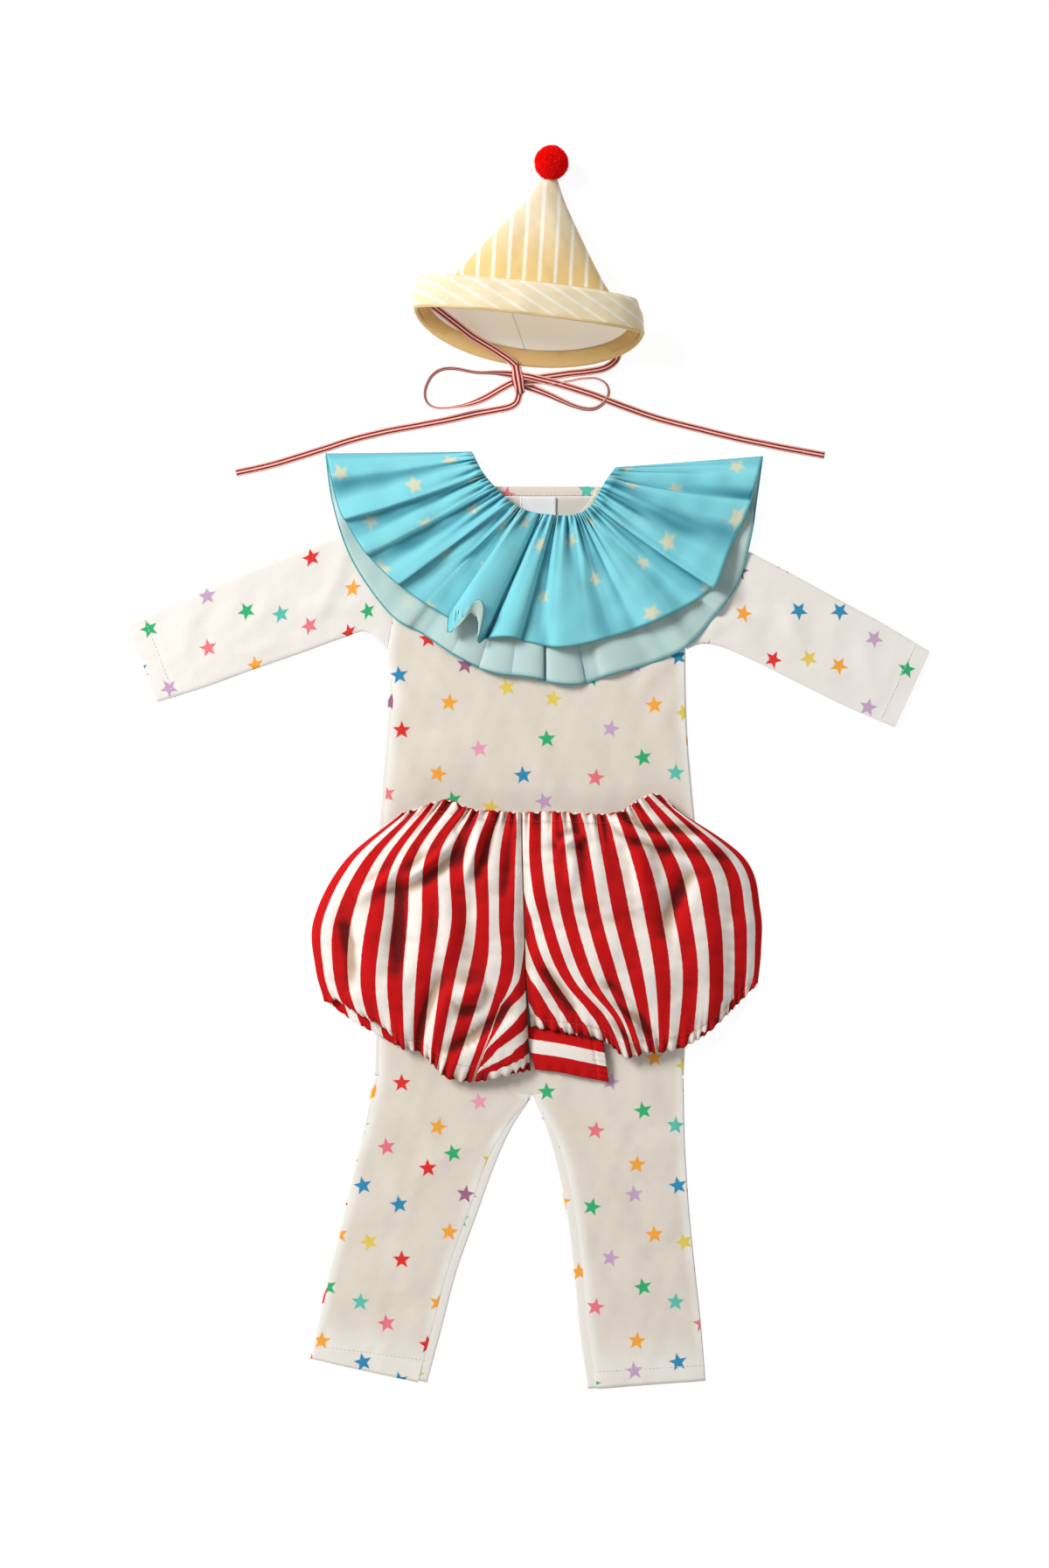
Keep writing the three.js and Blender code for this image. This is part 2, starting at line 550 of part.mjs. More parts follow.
// One ring of the hat, its lower half reaching out towards the mouth
function hatRing(section, inset) {
  const around = 24;
  const turn = THREE.MathUtils.degToRad(section.turn);
  const halfHeight = section.height / 2;
  return Array.from({ length: around }, (_, i) => {
    const angle = (2 * Math.PI * i) / around;
    const sine = Math.sin(angle);
    const reach = (section.halfWidth - inset) * Math.cos(angle);
    const rise = (halfHeight - inset) * Math.sign(sine) * Math.abs(sine) ** (sine < 0 ? 0.75 : 0.95);
    const sag = sine < 0 ? section.sag * Math.abs(sine) ** 1.2 : 0;
    const x = section.x + reach * Math.cos(turn) - sag * Math.sin(-turn);
    const y = section.y + reach * Math.sin(turn) - sag * Math.cos(turn);
    return new THREE.Vector3(x, y, section.rest + halfHeight + rise);
  });
}
const hatTube = (sections, inset, thick) => ringWall(
  sections.map((section) => hatRing(section, inset)),
  sections.map((section) => hatRing(section, inset + thick)),
);
addPiece('hat_crown', hatTube(hatSections, 0, crownThick), 0xf2dca0);
addPiece('hat_brim', hatTube(cuffSections, 0, cuffThick), 0xf2dca0);
addPiece('hat_lining', hatTube(hatSections.slice(0, 5), crownThick + 0.6, liningThick), 0xe6dccb);

const pompom = new THREE.SphereGeometry(pompomRadius, 16, 10);
const pompomMesh = addPiece('hat_pompom', pompom, 0xd01010, 1);
pompomMesh.position.set(pompomCentre.x, pompomCentre.y, pompomCentre.z);

function ribbonStrip(route) {
  const curve = new THREE.CatmullRomCurve3(route.map(([x, y, z]) => new THREE.Vector3(x, y, z)), false, 'centripetal');
  const steps = Math.min(3 * (route.length - 1), 30);
  const points = [];
  for (let i = 0; i <= steps; i++) {
    const middle = curve.getPointAt(i / steps);
    const tangent = curve.getTangentAt(i / steps);
    const side = new THREE.Vector3(-tangent.y, tangent.x, 0).normalize();
    const up = new THREE.Vector3().crossVectors(tangent, side).normalize();
    if (up.z < 0) up.negate();
    for (const [a, b] of [[-1, -1], [1, -1], [1, 1], [-1, 1]]) {
      const corner = middle.clone().addScaledVector(side, (a * ribbon.width) / 2);
      points.push(corner.addScaledVector(up, (b * ribbon.thick) / 2));
    }
  }
  const triangles = [];
  for (const [a, b, c, d] of gridCells(steps + 1, 4, true)) triangles.push([a, b, c], [a, c, d]);
  const end = steps * 4;
  triangles.push([0, 1, 2], [0, 2, 3], [end, end + 2, end + 1], [end, end + 3, end + 2]);
  return closedBody(points, triangles);
}
const ribbonRed = 0xc0363c;
const ribbons = {
  tie_left: tieLeftRoute,
  tie_right: tieRightRoute,
  bow_loop_left: loopLeftRoute,
  bow_loop_right: loopRightRoute,
  tail_left: tailLeftRoute,
  tail_right: tailRightRoute,
};
for (const [name, route] of Object.entries(ribbons)) addPiece(name, ribbonStrip(route), ribbonRed, 0.6);

const knotBall = new THREE.SphereGeometry(1, 12, 8);
knotBall.scale(knot.halfWidth, knot.halfLength, knot.halfHeight);
const knotMesh = addPiece('bow_knot', knotBall, ribbonRed, 0.6);
knotMesh.position.set(knot.x, knot.y, knot.z);

export default costume;
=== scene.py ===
import math

import bmesh
import bpy
import numpy as np
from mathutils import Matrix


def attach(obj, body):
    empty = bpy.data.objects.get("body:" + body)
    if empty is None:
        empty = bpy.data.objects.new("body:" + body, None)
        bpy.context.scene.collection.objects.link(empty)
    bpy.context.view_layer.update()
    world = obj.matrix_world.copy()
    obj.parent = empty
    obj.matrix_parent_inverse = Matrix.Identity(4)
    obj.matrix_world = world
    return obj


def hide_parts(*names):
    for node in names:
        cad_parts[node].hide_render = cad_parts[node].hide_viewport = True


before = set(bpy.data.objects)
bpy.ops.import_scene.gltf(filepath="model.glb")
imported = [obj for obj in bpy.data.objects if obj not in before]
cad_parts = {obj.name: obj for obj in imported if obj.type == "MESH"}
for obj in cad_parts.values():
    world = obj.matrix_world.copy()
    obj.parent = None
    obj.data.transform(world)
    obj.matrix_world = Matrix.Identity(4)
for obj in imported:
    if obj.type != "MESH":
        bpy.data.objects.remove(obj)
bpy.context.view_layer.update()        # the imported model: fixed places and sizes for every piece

mm = 0.001
print("frame loaded")

# small tools

def smooth(low, high, value):
    t = np.clip((np.asarray(value, float) - low) / (high - low), 0, 1)
    return t * t * (3 - 2 * t)


def rowsOf(names, rows):
    # a table: one set of column names for all its rows
    return [dict(zip(names.split(), row)) for row in rows]


def column(table, name):
    return np.array([row[name] for row in table], float)


def together(*parts):
    # several numbers for each point, side by side
    return np.stack(np.broadcast_arrays(*parts), axis=-1)


def bell(distance, width):
    return np.exp(-((distance / width) ** 2))


def unit(vectors):
    return vectors / np.maximum(np.linalg.norm(vectors, axis=-1, keepdims=True), 1e-9)


def runAlong(points):
    # how far each point of a line is from its start
    return np.concatenate([[0], np.cumsum(np.linalg.norm(np.diff(points, axis=0), axis=1))])


def splineRow(knots, values, at):
    # Catmull-Rom through values standing at rising knots; values may have several columns
    knots = np.asarray(knots, float)
    values = np.asarray(values, float)
    at = np.clip(np.asarray(at, float), knots[0], knots[-1])
    slot = np.clip(np.searchsorted(knots, at, side="right") - 1, 0, len(knots) - 2)
    span = knots[slot + 1] - knots[slot]
    t = (at - knots[slot]) / span
    before = np.clip(slot - 1, 0, None)
    after = np.clip(slot + 2, None, len(knots) - 1)

    def wide(a):
        return a.reshape(a.shape + (1,) * (values.ndim - 1))

    slopeA = (values[slot + 1] - values[before]) / wide(np.maximum(knots[slot + 1] - knots[before], 1e-9))
    slopeB = (values[after] - values[slot]) / wide(np.maximum(knots[after] - knots[slot], 1e-9))
    span, t = wide(span), wide(t)
    return (
        values[slot] * (2 * t**3 - 3 * t**2 + 1)
        + slopeA * span * (t**3 - 2 * t**2 + t)
        + values[slot + 1] * (3 * t**2 - 2 * t**3)
        + slopeB * span * (t**3 - t**2)
    )


def sectionsAt(table, at):
    # every column of a table of sections, at places counted in sections from its first
    return {key: splineRow(np.arange(len(table)), column(table, key), at)[:, None] for key in table[0]}


def curveThrough(points, count):
    # evenly spaced points on a smooth line through the given ones
    points = np.asarray(points, float)
    knots = np.arange(len(points), dtype=float)
    fine = splineRow(knots, points, np.linspace(0, len(points) - 1, 40 * len(points)))
    run = runAlong(fine)
    want = np.linspace(0, run[-1], count)
    return np.stack([np.interp(want, run, fine[:, i]) for i in range(points.shape[1])], axis=1)


def ripples(x, y, wavelength, seed, waves=9):
    # soft uneven swelling, about -1 to 1
    pick = np.random.default_rng(seed)
    total = np.zeros(np.broadcast(x, y).shape)
    for _ in range(waves):
        angle = pick.uniform(0, 2 * math.pi)
        number = 2 * math.pi / (wavelength * pick.uniform(0.7, 1.6))
        total += np.sin(number * (x * math.cos(angle) + y * math.sin(angle)) + pick.uniform(0, 2 * math.pi))
    return total / math.sqrt(waves)


def creases(x, y, table):
    # each row is one soft ridge (or trough, with a negative height) from its start to its end
    total = np.zeros(np.broadcast(x, y).shape)
    for row in table:
        dx, dy = row["x1"] - row["x0"], row["y1"] - row["y0"]
        length = math.hypot(dx, dy)
        along = ((x - row["x0"]) * dx + (y - row["y0"]) * dy) / length**2
        aside = ((y - row["y0"]) * dx - (x - row["x0"]) * dy) / length
        aside = aside - row.get("bend", 0) * 4 * along * (1 - along)
        taper = np.sin(np.pi * np.clip(along, 0, 1)) ** 0.7
        width = row["width"]
        ridge = bell(aside, width) - 0.3 * bell(aside - 1.9 * width, width)
        total += row["height"] * taper * ridge
    return total


def hollow(z, step, reach):
    # how far each point of a grid lies below its neighbours along the row, in millimetres
    half = max(int(reach / step), 2)
    kernel = np.hanning(2 * half + 1)
    kernel /= kernel.sum()
    padded = np.pad(z, ((0, 0), (half, half)), mode="edge")
    around = np.stack([np.convolve(row, kernel, mode="valid") for row in padded])
    return np.clip(around - z, 0, None)


def gridFaces(rows, across, wrap=False, loop=False):
    # squares of a grid of points; wrap joins the last column to the first, loop the last row to the first
    i, j = np.meshgrid(
        np.arange(rows if loop else rows - 1), np.arange(across if wrap else across - 1), indexing="ij"
    )
    m, n = (i + 1) % rows, (j + 1) % across
    faces = np.stack([i * across + j, m * across + j, m * across + n, i * across + n], axis=-1)
    return faces.reshape(-1, 4)


def makeMesh(name, points, faces, uv=None, layers=None):
    # points in millimetres; uv has a pair for each point or each face corner
    points = np.asarray(points, float).reshape(-1, 3) * mm
    faces = np.asarray(faces, int)
    mesh = bpy.data.meshes.new(name)
    mesh.vertices.add(len(points))
    mesh.vertices.foreach_set("co", points.astype(np.float32).ravel())
    mesh.loops.add(faces.size)
    mesh.loops.foreach_set("vertex_index", faces.astype(np.int32).ravel())
    mesh.polygons.add(len(faces))
    mesh.polygons.foreach_set("loop_start", (np.arange(len(faces)) * faces.shape[1]).astype(np.int32))
    mesh.polygons.foreach_set("use_smooth", np.ones(len(faces), bool))
    mesh.update(calc_edges=True)
    maps = dict(layers or {})
    if uv is not None:
        maps["cloth"] = uv
    for label, pairs in maps.items():
        pairs = np.asarray(pairs, float).reshape(-1, 2)
        if len(pairs) == len(points):
            pairs = pairs[faces.ravel()]
        mesh.uv_layers.new(name=label).data.foreach_set("uv", pairs.astype(np.float32).ravel())
    mesh.validate()
    piece = bpy.data.objects.new(name, mesh)
    bpy.context.scene.collection.objects.link(piece)
    return piece


def settle(piece):
    # turns the modifiers' result into the piece's own plain mesh
    graph = bpy.context.evaluated_depsgraph_get()
    fresh = bpy.data.meshes.new_from_object(
        piece.evaluated_get(graph), preserve_all_data_layers=True, depsgraph=graph
    )
    piece.modifiers.clear()
    piece.data = fresh
    return piece


def weld(piece, distance=0.02):
    shell = bmesh.new()
    shell.from_mesh(piece.data)
    bmesh.ops.remove_doubles(shell, verts=shell.verts, dist=distance * mm)
    shell.to_mesh(piece.data)
    shell.free()
    return piece


def thicken(piece, thickness, offset=-1.0, backSlot=0):
    wall = piece.modifiers.new("wall", "SOLIDIFY")
    wall.thickness = thickness * mm
    wall.offset = offset
    wall.use_even_offset = False
    wall.material_offset = backSlot
    return settle(piece)


def dress(piece, *materials):
    for material in materials:
        piece.data.materials.append(material)
    return piece


def wear(piece, slot, *nodes):
    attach(piece, "root")
    if nodes:
        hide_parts(*nodes)
    return piece


def joinPieces(name, pieces):
    # one mesh from several, keeping their materials and maps
    with bpy.context.temp_override(
        active_object=pieces[0], object=pieces[0], selected_objects=pieces, selected_editable_objects=pieces
    ):
        bpy.ops.object.join()
    pieces[0].name = name
    pieces[0].data.name = name
    return pieces[0]


def tube(name, route, radius, sides):
    # a plain round thread along a route; each end closes with squares that meet in its middle
    route = np.asarray(route, float)
    ahead = unit(np.gradient(route, axis=0))
    side = unit(np.cross(ahead, np.tile([0.0, 0.0, 1.0], (len(route), 1))))
    up = np.cross(side, ahead)
    turn = np.linspace(0, 2 * math.pi, sides, endpoint=False)
    rings = (
        route[:, None, :]
        + radius * np.cos(turn)[None, :, None] * side[:, None, :]
        + radius * np.sin(turn)[None, :, None] * up[:, None, :]
    )
    faces = gridFaces(len(route), sides, wrap=True)[:, ::-1]
    points = np.concatenate([rings.reshape(-1, 3), route[:1], route[-1:]])
    j = np.arange(0, sides, 2)
    k, n = (j + 1) % sides, (j + 2) % sides
    last = (len(route) - 1) * sides
    first = np.stack([np.full(len(j), len(points) - 2), j, k, n], axis=1)
    second = np.stack([np.full(len(j), len(points) - 1), last + n, last + k, last + j], axis=1)
    faces = np.concatenate([faces, first, second])
    along = runAlong(route)
    uv = together(turn[None, :] * radius, along[:, None]).reshape(-1, 2)
    uv = np.concatenate([uv, [[0, along[0]], [0, along[-1]]]])
    return makeMesh(name, points, faces, uv=uv * mm)


# shader maths

class Wire:
    def __init__(self, tree, socket):
        self.tree = tree
        self.socket = socket

    def math(self, operation, *others):
        return self.tree.node("ShaderNodeMath", {"operation": operation}, [self, *others])

    def __add__(self, other):
        return self.math("ADD", other)

    def __radd__(self, other):
        return self.math("ADD", other)

    def __sub__(self, other):
        return self.math("SUBTRACT", other)

    def __rsub__(self, other):
        return self.tree.node("ShaderNodeMath", {"operation": "SUBTRACT"}, [other, self])

    def __mul__(self, other):
        return self.math("MULTIPLY", other)

    def __rmul__(self, other):
        return self.math("MULTIPLY", other)

    def step(self, low, high):
        settings = {"interpolation_type": "SMOOTHSTEP", "clamp": True}
        inputs = {"Value": self, "From Min": low, "From Max": high}
        return self.tree.node("ShaderNodeMapRange", settings, inputs)


class Cloth:
    # one cloth material and the nodes that make it
    def __init__(self, name, roughness=0.9, sheen=0.25, specular=0.25):
        self.material = bpy.data.materials.new(name)
        self.material.use_nodes = True
        self.nodes = self.material.node_tree.nodes
        self.links = self.material.node_tree.links
        self.shader = self.nodes["Principled BSDF"]
        self.shader.inputs["Roughness"].default_value = roughness
        self.shader.inputs["Sheen Weight"].default_value = sheen
        self.shader.inputs["Sheen Roughness"].default_value = 0.5
        self.shader.inputs["Specular IOR Level"].default_value = specular

    def node(self, kind, settings=None, inputs=None, output=0):
        made = self.nodes.new(kind)
        for key, value in (settings or {}).items():
            setattr(made, key, value)
        pairs = inputs.items() if isinstance(inputs, dict) else enumerate(inputs or [])
        for key, value in pairs:
            socket = made.inputs[key]
            if isinstance(value, Wire):
                self.links.new(value.socket, socket)
            else:
                socket.default_value = value
        return Wire(self, made.outputs[output])

    def split(self, vector):
        made = self.node("ShaderNodeSeparateXYZ", None, [vector]).socket.node
        return [Wire(self, made.outputs[i]) for i in range(3)]

    def uv(self, label="cloth"):
        return self.node("ShaderNodeUVMap", {"uv_map": label})

    def place(self):
        return self.node("ShaderNodeTexCoord", output="Object")

    def noise(self, vector, scale, detail=3.0):
        inputs = {"Vector": vector, "Scale": scale, "Detail": detail, "Roughness": 0.55}
        return self.node("ShaderNodeTexNoise", None, inputs)

    def mix(self, factor, first, second):
        made = self.node("ShaderNodeMix", {"data_type": "RGBA"}, {0: factor}).socket.node
        for socket, value in ((made.inputs[6], first), (made.inputs[7], second)):
            if isinstance(value, Wire):
                self.links.new(value.socket, socket)
            else:
                socket.default_value = (*value, 1.0) if len(value) == 3 else value
        return Wire(self, made.outputs[2])

    def colour(self, wire):
        self.links.new(wire.socket, self.shader.inputs["Base Color"])

    def bump(self, height, strength, distance):
        inputs = {"Height": height, "Strength": strength, "Distance": distance}
        made = self.node("ShaderNodeBump", None, inputs)
        self.links.new(made.socket, self.shader.inputs["Normal"])

    def weave(self, vector, pitch):
        # over-and-under threads of a plain weave, 0 to 1
        across, along, _ = self.split(vector)
        turn = 2 * math.pi / pitch
        warp = (across * turn).math("SINE")
        weft = (along * turn).math("SINE")
        return (warp * weft) * 0.5 + 0.5

    def knit(self, vector, pitch):
        # rows of small V stitches
        across, along, _ = self.split(vector)
        rib = (across * (math.pi / pitch)).math("SINE").math("ABSOLUTE")
        lean = rib * pitch * 0.8
        rows = ((along + lean) * (2 * math.pi / (pitch * 0.8))).math("SINE")
        return rib * 0.6 + rows * 0.25


def rgb(red, green, blue):
    # a colour seen as 0 to 255 on a screen, as light
    def channel(value):
        value /= 255
        return value / 12.92 if value <= 0.04045 else ((value + 0.055) / 1.055) ** 2.4
    return (channel(red), channel(green), channel(blue))

# camera, light and floor

view = {
    "height": 2200, "x": -2.8, "y": -13, "frameLength": 1255.1, "sensor": 36,
    "floorReach": 6000, "floorDrop": 0.2,
}
lamps = rowsOf("name x y z size power tint", [
    ("window", -2000, 1400, 1900, 1100, 92, (1.0, 0.985, 0.96)),
    ("roomLeft", -500, -1900, 1300, 1200, 9, (1.0, 0.97, 0.94)),
    ("roomRight", 1800, 300, 1500, 1600, 3, (0.96, 0.98, 1.0)),
])


def makeStage():
    eye = bpy.data.cameras.new("camera")
    eye.sensor_width = view["sensor"]
    eye.lens = view["sensor"] * view["height"] / view["frameLength"]
    camera = bpy.data.objects.new("camera", eye)
    camera.location = (view["x"] * mm, view["y"] * mm, view["height"] * mm)
    bpy.context.scene.collection.objects.link(camera)
    bpy.context.scene.camera = camera

    corners = np.array([[-1, -1, 0], [1, -1, 0], [1, 1, 0], [-1, 1, 0]]) * view["floorReach"]
    floor = makeMesh("floor", corners - [0, 0, view["floorDrop"]], [[0, 1, 2, 3]])
    pale = Cloth("paleFloor", roughness=0.95, sheen=0.0, specular=0.1)
    grain = pale.noise(pale.place(), 60.0)
    pale.colour(pale.mix(grain, (0.17, 0.17, 0.17), (0.19, 0.19, 0.19)))
    pale.shader.inputs["Emission Color"].default_value = (1.0, 1.0, 1.0, 1.0)
    pale.shader.inputs["Emission Strength"].default_value = 0.9
    dress(floor, pale.material)

    for row in lamps:
        lamp = bpy.data.lights.new(row["name"], "AREA")
        lamp.size = row["size"] * mm
        lamp.energy = row["power"]
        lamp.color = row["tint"]
        holder = bpy.data.objects.new(row["name"], lamp)
        holder.location = (row["x"] * mm, row["y"] * mm, row["z"] * mm)
        aim = -holder.location.normalized()
        holder.rotation_euler = aim.to_track_quat("-Z", "Y").to_euler()
        bpy.context.scene.collection.objects.link(holder)

    world = bpy.data.worlds.new("room")
    world.use_nodes = True
    world.node_tree.nodes["Background"].inputs["Color"].default_value = (1.0, 0.99, 0.98, 1.0)
    world.node_tree.nodes["Background"].inputs["Strength"].default_value = 0.29
    bpy.context.scene.world = world
    bpy.context.scene.view_settings.view_transform = "Standard"


makeStage()
print("stage set")

# star print

# the print's repeat, charted: each star's place in it, its ink and its turn in degrees
starPrint = {"wide": 252, "tall": 141, "left": -118, "bottom": -36, "tip": 7.6, "waist": 3.3}
inkShades = {
    "red": (226, 26, 24), "orange": (250, 168, 52), "yellow": (232, 205, 84), "green": (24, 178, 112),
    "teal": (86, 196, 180), "blue": (16, 138, 186), "coral": (238, 118, 128), "pink": (238, 160, 186),
    "lilac": (200, 166, 202), "plum": (160, 96, 130),
}
inks = {name: rgb(*shade) for name, shade in inkShades.items()}
starChart = rowsOf("x y ink turn", [
    (15, 110, "blue", 8), (55, 88, "orange", -6), (101, 100, "yellow", 14),
    (138, 91, "yellow", -10), (17, 66, "red", 0), (79, 51, "pink", 10), (133, 59, "green", 3),
    (184, 67, "lilac", -12), (219, 86, "orange", 5), (243, 80, "yellow", 20),
    (46, 31, "orange", -15), (114, 30, "blue", 6), (172, 28, "coral", -8), (210, 44, "green", 12),
    (236, 32, "teal", -4), (131, 9, "lilac", 16), (88, 4, "yellow", -12), (5, 15, "coral", 9),
    (38, 139, "red", 4), (68, 118, "plum", -9), (203, 118, "lilac", 7), (169, 108, "green", -14),
    (238, 125, "blue", 11), (124, 128, "teal", 2), (205, 1, "orange", -5), (58, 10, "green", 13),
])


def printStars(mesh, flat, chart, repeat):
    # gives every face corner its place relative to the nearest star, and every face that star's ink
    loops = np.zeros(len(mesh.loops), np.int32)
    mesh.loops.foreach_get("vertex_index", loops)
    totals = np.zeros(len(mesh.polygons), np.int32)
    mesh.polygons.foreach_get("loop_total", totals)
    owner = np.repeat(np.arange(len(totals)), totals)
    corners = flat[loops]
    middles = np.stack([np.bincount(owner, corners[:, i]) / totals for i in range(2)], axis=1)
    wide, tall = repeat["wide"], repeat["tall"]
    places = np.array([[row["x"], row["y"]] for row in chart], float)
    gap = (middles[:, None, :] - np.array([repeat["left"], repeat["bottom"]]) - places[None]) / [wide, tall]
    gap = (gap - np.round(gap)) * [wide, tall]
    nearest = np.argmin((gap**2).sum(-1), axis=1)
    offset = gap[np.arange(len(nearest)), nearest]
    star = middles - offset
    local = corners - star[owner]
    turns = np.radians([row["turn"] for row in chart])[nearest][owner]
    cos, sin = np.cos(turns), np.sin(turns)
    local = together(local[:, 0] * cos + local[:, 1] * sin, local[:, 1] * cos - local[:, 0] * sin)
    mesh.uv_layers.new(name="star").data.foreach_set("uv", (local * mm).astype(np.float32).ravel())
    if "ink" in chart[0]:
        paint = np.array([[*inks[row["ink"]], 1.0] for row in chart])[nearest][owner]
        layer = mesh.color_attributes.new("ink", "FLOAT_COLOR", "CORNER")
        layer.data.foreach_set("color", paint.astype(np.float32).ravel())


def starMask(cloth, tip, waist, blur):
    # 1 inside a five-pointed star of that reach and waist, in millimetres, 0 outside
    x, y, _ = cloth.split(cloth.uv("star"))
    reach = (x * x + y * y).math("SQRT") * 1000
    wedge = 2 * math.pi / 5
    angle = x.math("ARCTAN2", y) + 4 * wedge
    fold = (angle.math("MODULO", wedge) - wedge / 2).math("ABSOLUTE")
    fold = wedge / 2 - fold
    px = reach * fold.math("COSINE")
    py = reach * fold.math("SINE")
    innerX, innerY = waist * math.cos(wedge / 2), waist * math.sin(wedge / 2)
    nx, ny = innerY, tip - innerX
    size = math.hypot(nx, ny)
    away = (px * (nx / size) + py * (ny / size)) - tip * nx / size
    return 1 - away.step(-blur, blur)


# cloths

def starJersey(name, low, high):
    # the rest map's u tells how near a seam or hem is; the cloth is painted palest there, a painted highlight
    # along the seams and hems
    cloth = Cloth(name, roughness=0.95, sheen=0.04, specular=0.06)
    spot = cloth.place()
    ground = cloth.mix(cloth.noise(spot, 9.0, 4.0), low, high)
    near, _, _ = cloth.split(cloth.uv("rest"))
    # painted highlight: near white where a seam or hem is near
    ground = cloth.mix(near * 0.8, ground, rgb(247, 246, 242))
    speck = cloth.noise(spot, 900.0, 2.0)
    ground = cloth.mix(speck * 0.25, ground, rgb(228, 217, 206))
    mask = starMask(cloth, starPrint["tip"], starPrint["waist"], 0.35)
    wornInk = mask * (0.86 + cloth.noise(spot, 1400.0, 2.0) * 0.2).math("MINIMUM", 1.0)
    ink = cloth.node("ShaderNodeVertexColor", {"layer_name": "ink"})
    cloth.colour(cloth.mix(wornInk, ground, ink))
    cloth.bump(cloth.knit(cloth.uv(), 0.0011), 0.35, 0.00022)
    return cloth.material


def plainJersey():
    cloth = Cloth("plainJersey", roughness=0.95, sheen=0.04, specular=0.06)
    spot = cloth.place()
    cloth.colour(cloth.mix(cloth.noise(spot, 30.0, 4.0), rgb(212, 206, 196), rgb(222, 216, 206)))
    cloth.bump(cloth.knit(cloth.uv(), 0.0011), 0.35, 0.0002)
    return cloth.material


def labelSatin():
    cloth = Cloth("labelSatin", roughness=0.45, sheen=0.05, specular=0.5)
    across, along, _ = cloth.split(cloth.uv())
    rib = ((along * 9000).math("SINE")) * 0.5 + 0.5
    cloth.colour(cloth.mix(rib * 0.3, rgb(238, 238, 242), rgb(224, 224, 230)))
    cloth.bump(rib, 0.3, 0.0001)
    return cloth.material


def collarCotton(name, ground, shade, star, deep):
    # deep is the painted shade the cloth turns to in the valleys between its folds
    cloth = Cloth(name, roughness=0.85, sheen=0.03, specular=0.08)
    spot = cloth.place()
    base = cloth.mix(cloth.noise(spot, 24.0, 4.0), ground, shade)
    if star is not None:
        mask = starMask(cloth, 7.0, 3.7, 1.2)
        base = cloth.mix(mask * 0.72, base, star)
    # painted shade: the fold map darkens the valleys towards deep
    valley, _, _ = cloth.split(cloth.uv("fold"))
    base = cloth.mix(valley * 0.9, base, deep)
    weave = cloth.weave(cloth.uv(), 0.0009)
    cloth.colour(cloth.mix(weave * 0.05, base, (0.9, 0.97, 0.98)))
    cloth.bump(weave, 0.35, 0.00016)
    return cloth.material


def stripeCotton():
    # the stripe map's u counts stripes; a red one sits on every whole number
    cloth = Cloth("stripeCotton", roughness=0.88, sheen=0.0, specular=0.04)
    spot = cloth.place()
    count, _, _ = cloth.split(cloth.uv("stripe"))
    wobble = (cloth.noise(spot, 260.0, 2.0) - 0.5) * 0.03
    away = ((count + wobble + 1000.5).math("FRACT") - 0.5).math("ABSOLUTE")
    red = 1 - away.step(0.268, 0.292)
    # painted shade: in the hollows the fold map turns the white to a warm brown and the red to a dark red
    valley, _, _ = cloth.split(cloth.uv("fold"))
    white = cloth.mix(cloth.noise(spot, 14.0, 3.0), rgb(238, 228, 219), rgb(247, 241, 236))
    white = cloth.mix(valley, white, rgb(190, 164, 142))
    ink = cloth.mix(cloth.noise(spot, 11.0, 4.0), rgb(188, 0, 4), rgb(208, 0, 9))
    ink = cloth.mix(valley, ink, rgb(96, 0, 0))
    weave = cloth.weave(cloth.uv(), 0.0008)
    cloth.colour(cloth.mix(weave * 0.02, cloth.mix(red, white, ink), (1.0, 0.95, 0.93)))
    cloth.bump(weave, 0.4, 0.00016)
    return cloth.material


def hatCotton(name, low, shadedLowTone, high, litHighTone):
    # narrow white lines on pale yellow: the stripe map's u counts them, and its v is 1 where there are none;
    # there, on the rolled rim and under the cuff, the ground is painted a darker amber as painted shade
    # the ground turns from the low tone to the high tone between two heights up the hat: painted shade,
    # deeper yellow low on the hat near the cuff, paler higher up
    cloth = Cloth(name, roughness=0.92, sheen=0.04, specular=0.06)
    spot = cloth.place()
    count, rolled, _ = cloth.split(cloth.uv("stripe"))
    wobble = (cloth.noise(spot, 300.0, 2.0) - 0.5) * 0.04
    away = ((count + wobble + 1000.5).math("FRACT") - 0.5).math("ABSOLUTE")
    line = (1 - away.step(0.07, 0.15)) * (1 - rolled)
    aside, upward, _ = cloth.split(spot)
    fade = (upward + aside * 0.11 + (cloth.noise(spot, 18.0, 4.0) - 0.5) * 0.012).step(low, high)
    ground = cloth.mix(fade, shadedLowTone, litHighTone)
    # painted shade: darker amber on the rolled rim
    ground = cloth.mix(rolled * 0.4, ground, rgb(214, 152, 54))
    fleck = cloth.noise(spot, 700.0, 3.0)
    ground = cloth.mix(fleck * 0.3, ground, rgb(248, 236, 206))
    cloth.colour(cloth.mix(line * 0.8, ground, rgb(252, 247, 236)))
    cloth.bump(cloth.weave(cloth.uv(), 0.0011) + fleck * 0.5, 0.45, 0.0002)
    return cloth.material


